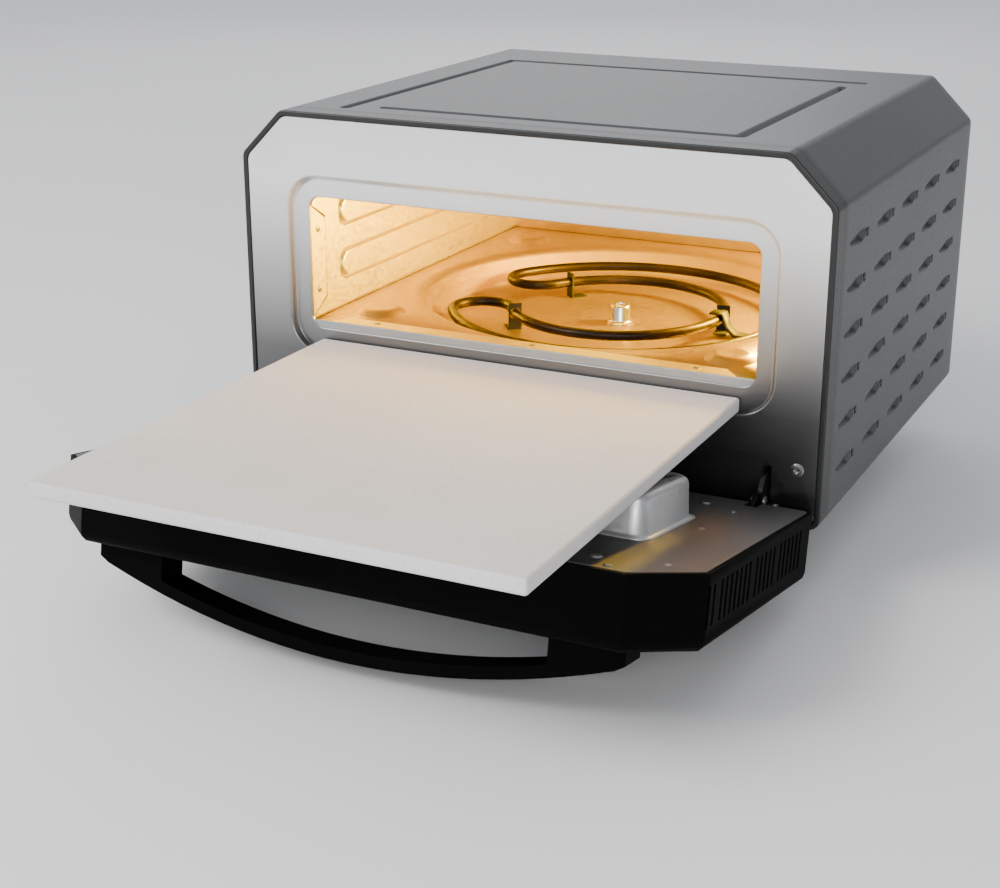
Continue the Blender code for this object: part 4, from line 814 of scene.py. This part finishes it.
def screw_head(radius, height, matrix):
    """A pan head with a cross recess, standing on the XY plane before its transform."""
    profile = [(radius, -0.0002), (radius, height * 0.35), (radius * 0.86, height * 0.78),
               (radius * 0.55, height), (radius * 0.42, height), (radius * 0.18, height * 0.35),
               (0.0, height * 0.30)]
    bm = spun(profile, 20)
    for vert in bm.verts:
        reach = math.hypot(vert.co.x, vert.co.y)
        if 0.1 * radius < reach < 0.5 * radius:
            quarter = math.atan2(vert.co.y, vert.co.x) % (math.pi / 2)
            if abs(quarter - math.pi / 4) < 0.35:
                vert.co.z = height * 0.96
    bm.transform(matrix)
    return bm


def element_path():
    """Both leads from the right wall, outer arcs, round bends and the ring inside them."""
    bend = (RING_OUTER - RING_INNER) / 2
    lead = math.asin(LEAD_SPREAD / RING_OUTER)
    half = [Vector((WALL_X + 0.018 - 0.004 * k, LEAD_SPREAD, 0)) for k in range(14)]
    half = [point for point in half if point.x > RING_OUTER * math.cos(lead) + 0.002]
    half += [Matrix.Rotation(lead + (BEND_ANGLE - lead) * k / 44, 3, "Z")
             @ Vector((RING_OUTER, 0, 0)) for k in range(45)]
    outward = Matrix.Rotation(BEND_ANGLE, 3, "Z") @ Vector((1, 0, 0))
    onward = Matrix.Rotation(BEND_ANGLE, 3, "Z") @ Vector((0, 1, 0))
    for k in range(1, 18):
        turn = math.pi * k / 18
        half.append(outward * ((RING_INNER + RING_OUTER) / 2 + bend * math.cos(turn))
                    + onward * bend * math.sin(turn))
    half += [Matrix.Rotation(BEND_ANGLE * (1 - k / 44), 3, "Z") @ Vector((RING_INNER, 0, 0))
             for k in range(44)]
    mirrored = [Vector((point.x, -point.y, 0)) for point in reversed(half)]
    return half + [Vector((RING_INNER, 0, 0))] + mirrored


def swept(path, radius):
    """A round tube along a level path."""
    bm = bmesh.new()
    loops = []
    for k, point in enumerate(path):
        ahead = (path[min(k + 1, len(path) - 1)] - path[max(k - 1, 0)]).normalized()
        up = Vector((0, 0, 1))
        turn = Matrix((up.cross(ahead), up, ahead)).transposed().to_4x4()
        made = bmesh.ops.create_circle(bm, cap_ends=k in (0, len(path) - 1), radius=radius,
                                       segments=TUBE_SIDES, matrix=Matrix.Translation(point) @ turn)
        loops.append(list({edge for vert in made["verts"] for edge in vert.link_edges}))
    for first, second in zip(loops, loops[1:]):
        bmesh.ops.bridge_loops(bm, edges=first + second)
    bmesh.ops.recalc_face_normals(bm, faces=bm.faces)
    return bm


def make_elements():
    for node in ("lower_element", "upper_element"):
        low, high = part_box(node)
        bm = swept(element_path(), (high[2] - low[2]) / 2)
        height = (low[2] + high[2]) / 2 - BASE_Z
        bmesh.ops.translate(bm, vec=(0, CAVITY_MIDDLE, height), verts=bm.verts)
        keep(bm, f"{node}_tube", "element_sheath", nodes=(node,), sharp=60)


def make_probe():
    """A capped sensor on a flared ring, with a slotted top."""
    low, high = (Vector(corner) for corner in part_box("temperature_probe"))
    tall = high.z - low.z
    profile = [(0.0100, 0.0), (0.0100, 0.0010), (0.0086, 0.0020), (0.0078, 0.0034),
               (0.0076, tall - 0.0022), (0.0070, tall - 0.0008), (0.0058, tall),
               (0.0036, tall), (0.0033, tall - 0.0012), (0.0, tall - 0.0012)]
    bm = spun(profile, 40)
    centre = (low + high) / 2
    place = Matrix.Translation((centre.x, centre.y, low.z))
    keep(bm, "probe_cap", "probe_steel", matrix=place, nodes=("temperature_probe",), sharp=40)


def make_right_support():
    """A dark strap stepping down from the ring to the dish floor on the right."""
    floor = FLOOR_Z - DISH_DEPTH
    steps = ((RING_INNER - 0.006, 0.0175), (RING_INNER + 0.004, 0.0175),
             (RING_INNER + 0.007, 0.0080), (RING_INNER + 0.013, 0.0022),
             (RING_INNER + 0.034, 0.0018), (RING_INNER + 0.040, 0.0046))
    bm = bmesh.new()
    points = [bm.verts.new((x, CAVITY_MIDDLE - 0.006, floor + z)) for x, z in steps]
    edges = [bm.edges.new(pair) for pair in zip(points, points[1:])]
    made = bmesh.ops.extrude_edge_only(bm, edges=edges)
    moved = [item for item in made["geom"] if isinstance(item, bmesh.types.BMVert)]
    bmesh.ops.translate(bm, vec=(0, 0.012, 0), verts=moved)
    bmesh.ops.recalc_face_normals(bm, faces=bm.faces)
    keep(bm, "right_support", "clip_steel", sharp=20, wall=0.0012, offset=0.0)


def make_panel_screws():
    for side in ("left", "right"):
        low, high = (Vector(corner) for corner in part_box(f"panel_screw_{side}"))
        centre = (low + high) / 2
        place = Matrix.Translation((centre.x, FRONT_Y + PANEL_FACE, centre.z))
        head = screw_head(0.0046, 0.0014, place @ Matrix.Rotation(math.pi / 2, 4, "X"))
        keep(head, f"front_screw_{side}", "screw_steel", matrix=Matrix.Identity(4),
             nodes=(f"panel_screw_{side}",), sharp=30)


# ---------------------------------------------------------------- stone and door

def make_stone():
    low, high = (Vector(corner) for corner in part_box("pizza_stone"))
    bm = block(low, high, 0.0022, 4)
    even_normals(keep(bm, "baking_stone", "cordierite_stone", "stone", Matrix.Identity(4),
                      ("pizza_stone",), sharp=40))


def make_liner():
    """The raised box on the door, drawn from one sheet with soft edges."""
    low, high, half, radius = LINER_LOW, LINER_HIGH, LINER_HALF_WIDTH, LINER_ROUND
    rise = door_rise("door_liner")
    bm = bmesh.new()
    loops = []
    for inset, y in ((-0.0035, 0.0004), (-0.0012, 0.0009), (-0.0002, 0.0024)):
        loops.append(ring(bm, half - inset, low + inset, high - inset, radius, y, 6))
    for k in range(7):
        angle = math.pi / 2 * k / 6
        inset = 0.0012 + 0.0058 * (1 - math.cos(angle))
        loops.append(ring(bm, half - inset, low + inset, high - inset, radius - inset * 0.5,
                          rise - 0.0058 * (1 - math.sin(angle)), 6))
    for inset, drop in ((0.0165, 0.0), (0.0176, 0.0004), (0.0180, 0.0012), (0.0180, 0.0020)):
        loops.append(ring(bm, half - inset, low + inset, high - inset, 0.006, rise - drop, 6))
    for first, second in zip(loops, loops[1:]):
        bmesh.ops.bridge_loops(bm, edges=first + second)
    bmesh.ops.recalc_face_normals(bm, faces=bm.faces)
    flat = max(bm.faces, key=lambda f: f.calc_center_median().y)
    if flat.normal.y < 0:
        bmesh.ops.reverse_faces(bm, faces=bm.faces)
    keep(bm, "door_liner_box", "liner_steel", "door", DOOR, ("door_liner",), sharp=50,
         wall=0.0010)


def door_rise(node):
    """How far a door node stands up from the plate, in the door's own frame."""
    back = DOOR.inverted()
    return max((back @ vert.co).y for vert in frame["nodes"][node].data.vertices)


def make_door_screws():
    """Heads on the inner plate: by the hinges, beside the liner and along the handle edge."""
    heads = []
    places = ((0.189, 0.007), (0.174, 0.047), (0.174, 0.107), (0.190, 0.205), (0.164, 0.229))
    for x, z in places:
        for side in (-1, 1):
            turn = Matrix.Translation((side * x, 0.0, z)) @ Matrix.Rotation(-math.pi / 2, 4, "X")
            heads.append(screw_head(0.0024, 0.0007, turn))
    keep(merged(heads), "plate_screws", "screw_steel", "door", DOOR, sharp=30)


def make_dial_marks():
    """Short raised ticks round the dial and a line on its face."""
    ticks = []
    dial = DOOR.inverted() @ Vector(JOINTS["dial_turn"]["pos_m"])
    face = -DOOR_THICKNESS - 0.0021
    for k in range(11):
        angle = math.radians(-150 + 30 * k)
        tick = block((-0.0004, face - 0.0002, 0.0190), (0.0004, face + 0.0001, 0.0215))
        tick.transform(Matrix.Translation((dial.x, 0, dial.z)) @ Matrix.Rotation(angle, 4, "Y"))
        ticks.append(tick)
    keep(merged(ticks), "dial_ticks", "button_metal", "door", DOOR, sharp=20)
    pointer = block((dial.x - 0.0006, face - 0.0116, dial.z + 0.006),
                    (dial.x + 0.0006, face - 0.0110, dial.z + 0.0145), 0.0002, 1)
    keep(pointer, "dial_pointer", "screw_steel", "dial", DOOR, sharp=20)


def make_rivets():
    """Domed rivet heads on the hinge arms' pins."""
    heads = []
    for side in (-1, 1):
        for x, turn in ((side * (HINGE_X + 0.0014), side * math.pi / 2),
                        (side * (HINGE_X - 0.0048), -side * math.pi / 2)):
            dome = spun([(0.0036, -0.0001), (0.0034, 0.0006), (0.0024, 0.0013), (0.0, 0.0016)], 24)
            place = Matrix.Translation((x, 0, 0)) @ Matrix.Rotation(turn, 4, "Y")
            dome.transform(place)
            heads.append(dome)
    matrix = Matrix.Translation(HINGE["pos_m"])
    keep(merged(heads), "hinge_rivets", "screw_steel", "oven", matrix, sharp=60)


def make_rear_details():
    """Screws round the rear panel."""
    heads = []
    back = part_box("rear_panel")[1][1] - FRONT_Y
    for x in (-0.200, -0.070, 0.070, 0.200):
        for z in (0.018, HEIGHT - 0.014):
            if z > 0.1 and abs(x) > 0.18:
                continue
            turn = Matrix.Translation((x, back, z)) @ Matrix.Rotation(-math.pi / 2, 4, "X")
            heads.append(screw_head(0.0034, 0.0015, turn))
    for side in (-1, 1):
        turn = Matrix.Translation((side * 0.200, back, 0.180))
        heads.append(screw_head(0.0034, 0.0015, turn @ Matrix.Rotation(-math.pi / 2, 4, "X")))
    keep(merged(heads), "rear_screws", "screw_steel", sharp=30)


# ---------------------------------------------------------------- stage, light and camera

def make_stage():
    bm = bmesh.new()
    bmesh.ops.create_grid(bm, x_segments=2, y_segments=2, size=6.0)
    mesh = bpy.data.meshes.new("floor")
    bm.to_mesh(mesh)
    bm.free()
    floor = bpy.data.objects.new("floor", mesh)
    bpy.context.scene.collection.objects.link(floor)
    material, tree, shader = new_finish("pale_floor", Roughness=0.7)
    cloud = noise(tree, 1.5, detail=2.0)
    colour = ramp(tree, cloud, (0.3, (0.86, 0.86, 0.86)), (0.7, (0.88, 0.88, 0.88)))
    tree.links.new(colour, shader.inputs["Base Color"])
    mesh.materials.append(material)


def add_light(name, place, target, size, power, colour=(1, 1, 1)):
    lamp = bpy.data.lights.new(name, "AREA")
    lamp.shape = "RECTANGLE"
    lamp.size, lamp.size_y = size
    lamp.energy = power
    lamp.color = colour
    holder = bpy.data.objects.new(name, lamp)
    bpy.context.scene.collection.objects.link(holder)
    holder.location = place
    aim = Vector(target) - Vector(place)
    holder.rotation_euler = aim.to_track_quat("-Z", "Y").to_euler()
    holder.visible_camera = False


def make_lights():
    world = bpy.data.worlds.new("studio")
    world.use_nodes = True
    background = world.node_tree.nodes["Background"]
    background.inputs["Strength"].default_value = 1.0
    place = world.node_tree.nodes.new("ShaderNodeTexCoord")
    axes = world.node_tree.nodes.new("ShaderNodeSeparateXYZ")
    world.node_tree.links.new(place.outputs["Generated"], axes.inputs["Vector"])
    sky = ramp(world.node_tree, axes.outputs["X"], (0.0, (0.92, 0.94, 0.98)),
               (0.20, (0.66, 0.67, 0.70)), (0.55, (0.34, 0.35, 0.37)))
    world.node_tree.links.new(sky, background.inputs["Color"])
    bpy.context.scene.world = world
    add_light("key", (-1.6, -1.8, 2.0), (0, 0, 0.15), (1.6, 1.2), 76)
    add_light("front_fill", (1.1, -2.4, 0.9), (0, 0.0, 0.10), (1.2, 1.0), 34)
    add_light("back_sweep", (-1.3, 2.6, 1.3), (0.0, 0.1, 0.28), (1.5, 0.9), 8)
    y, z = FRONT_Y + CAVITY_MIDDLE, BASE_Z + CEILING_Z
    add_light("cavity_lamp", (WALL_X - 0.016, y + 0.08, z - 0.040), (-0.16, y - 0.06, z - 0.06),
              (0.03, 0.06), 7.6, AMBER)
    add_light("cavity_ceiling_glow", (-0.06, y, z - 0.006), (-0.10, y - 0.02, 0.1),
              (0.16, 0.16), 0.35, AMBER)


def make_camera():
    """Right of the front, looking a little down."""
    azimuth, elevation = math.radians(26.07), math.radians(19.56)
    lens = bpy.data.cameras.new("camera")
    lens.lens = 65.12
    lens.sensor_width = 36.0
    camera = bpy.data.objects.new("camera", lens)
    bpy.context.scene.collection.objects.link(camera)
    camera.location = (0.5042, -1.08825, 0.4877)
    camera.rotation_euler = (math.pi / 2 - elevation, 0.0, azimuth)
    bpy.context.scene.camera = camera


# ---------------------------------------------------------------- assembly

make_camera()
make_stage()
make_lights()
make_housing()
make_bezel()
make_front_panel()
make_cavity_walls()
make_cavity_floor()
make_cavity_ends()
make_panel_tabs()
make_stone()
make_liner()
make_door_screws()
make_dial_marks()
make_rivets()
make_rear_details()
make_elements()
make_probe()
make_right_support()
make_panel_screws()
for node in ("door_shell", "handle", "door_inner_plate", "dial_knob", "button_1", "button_2",
             "button_3", "cord_gland", "lamp_lens", "lamp_bulb",
             "lamp_holder", "control_fascia", "foot_front_left", "foot_front_right",
             "foot_rear_left", "foot_rear_right", "foot_pad_front_left",
             "foot_pad_front_right", "foot_pad_rear_left", "foot_pad_rear_right",
             "hinge_arm_left", "hinge_arm_right", "hinge_bracket_left",
             "hinge_bracket_right", "rear_panel", "base_pan"):
    refined(node)
for node, piece in frame["nodes"].items():
    piece.data.materials.clear()
    piece.data.materials.append(FINISHES[NODE_SLOTS[node]])
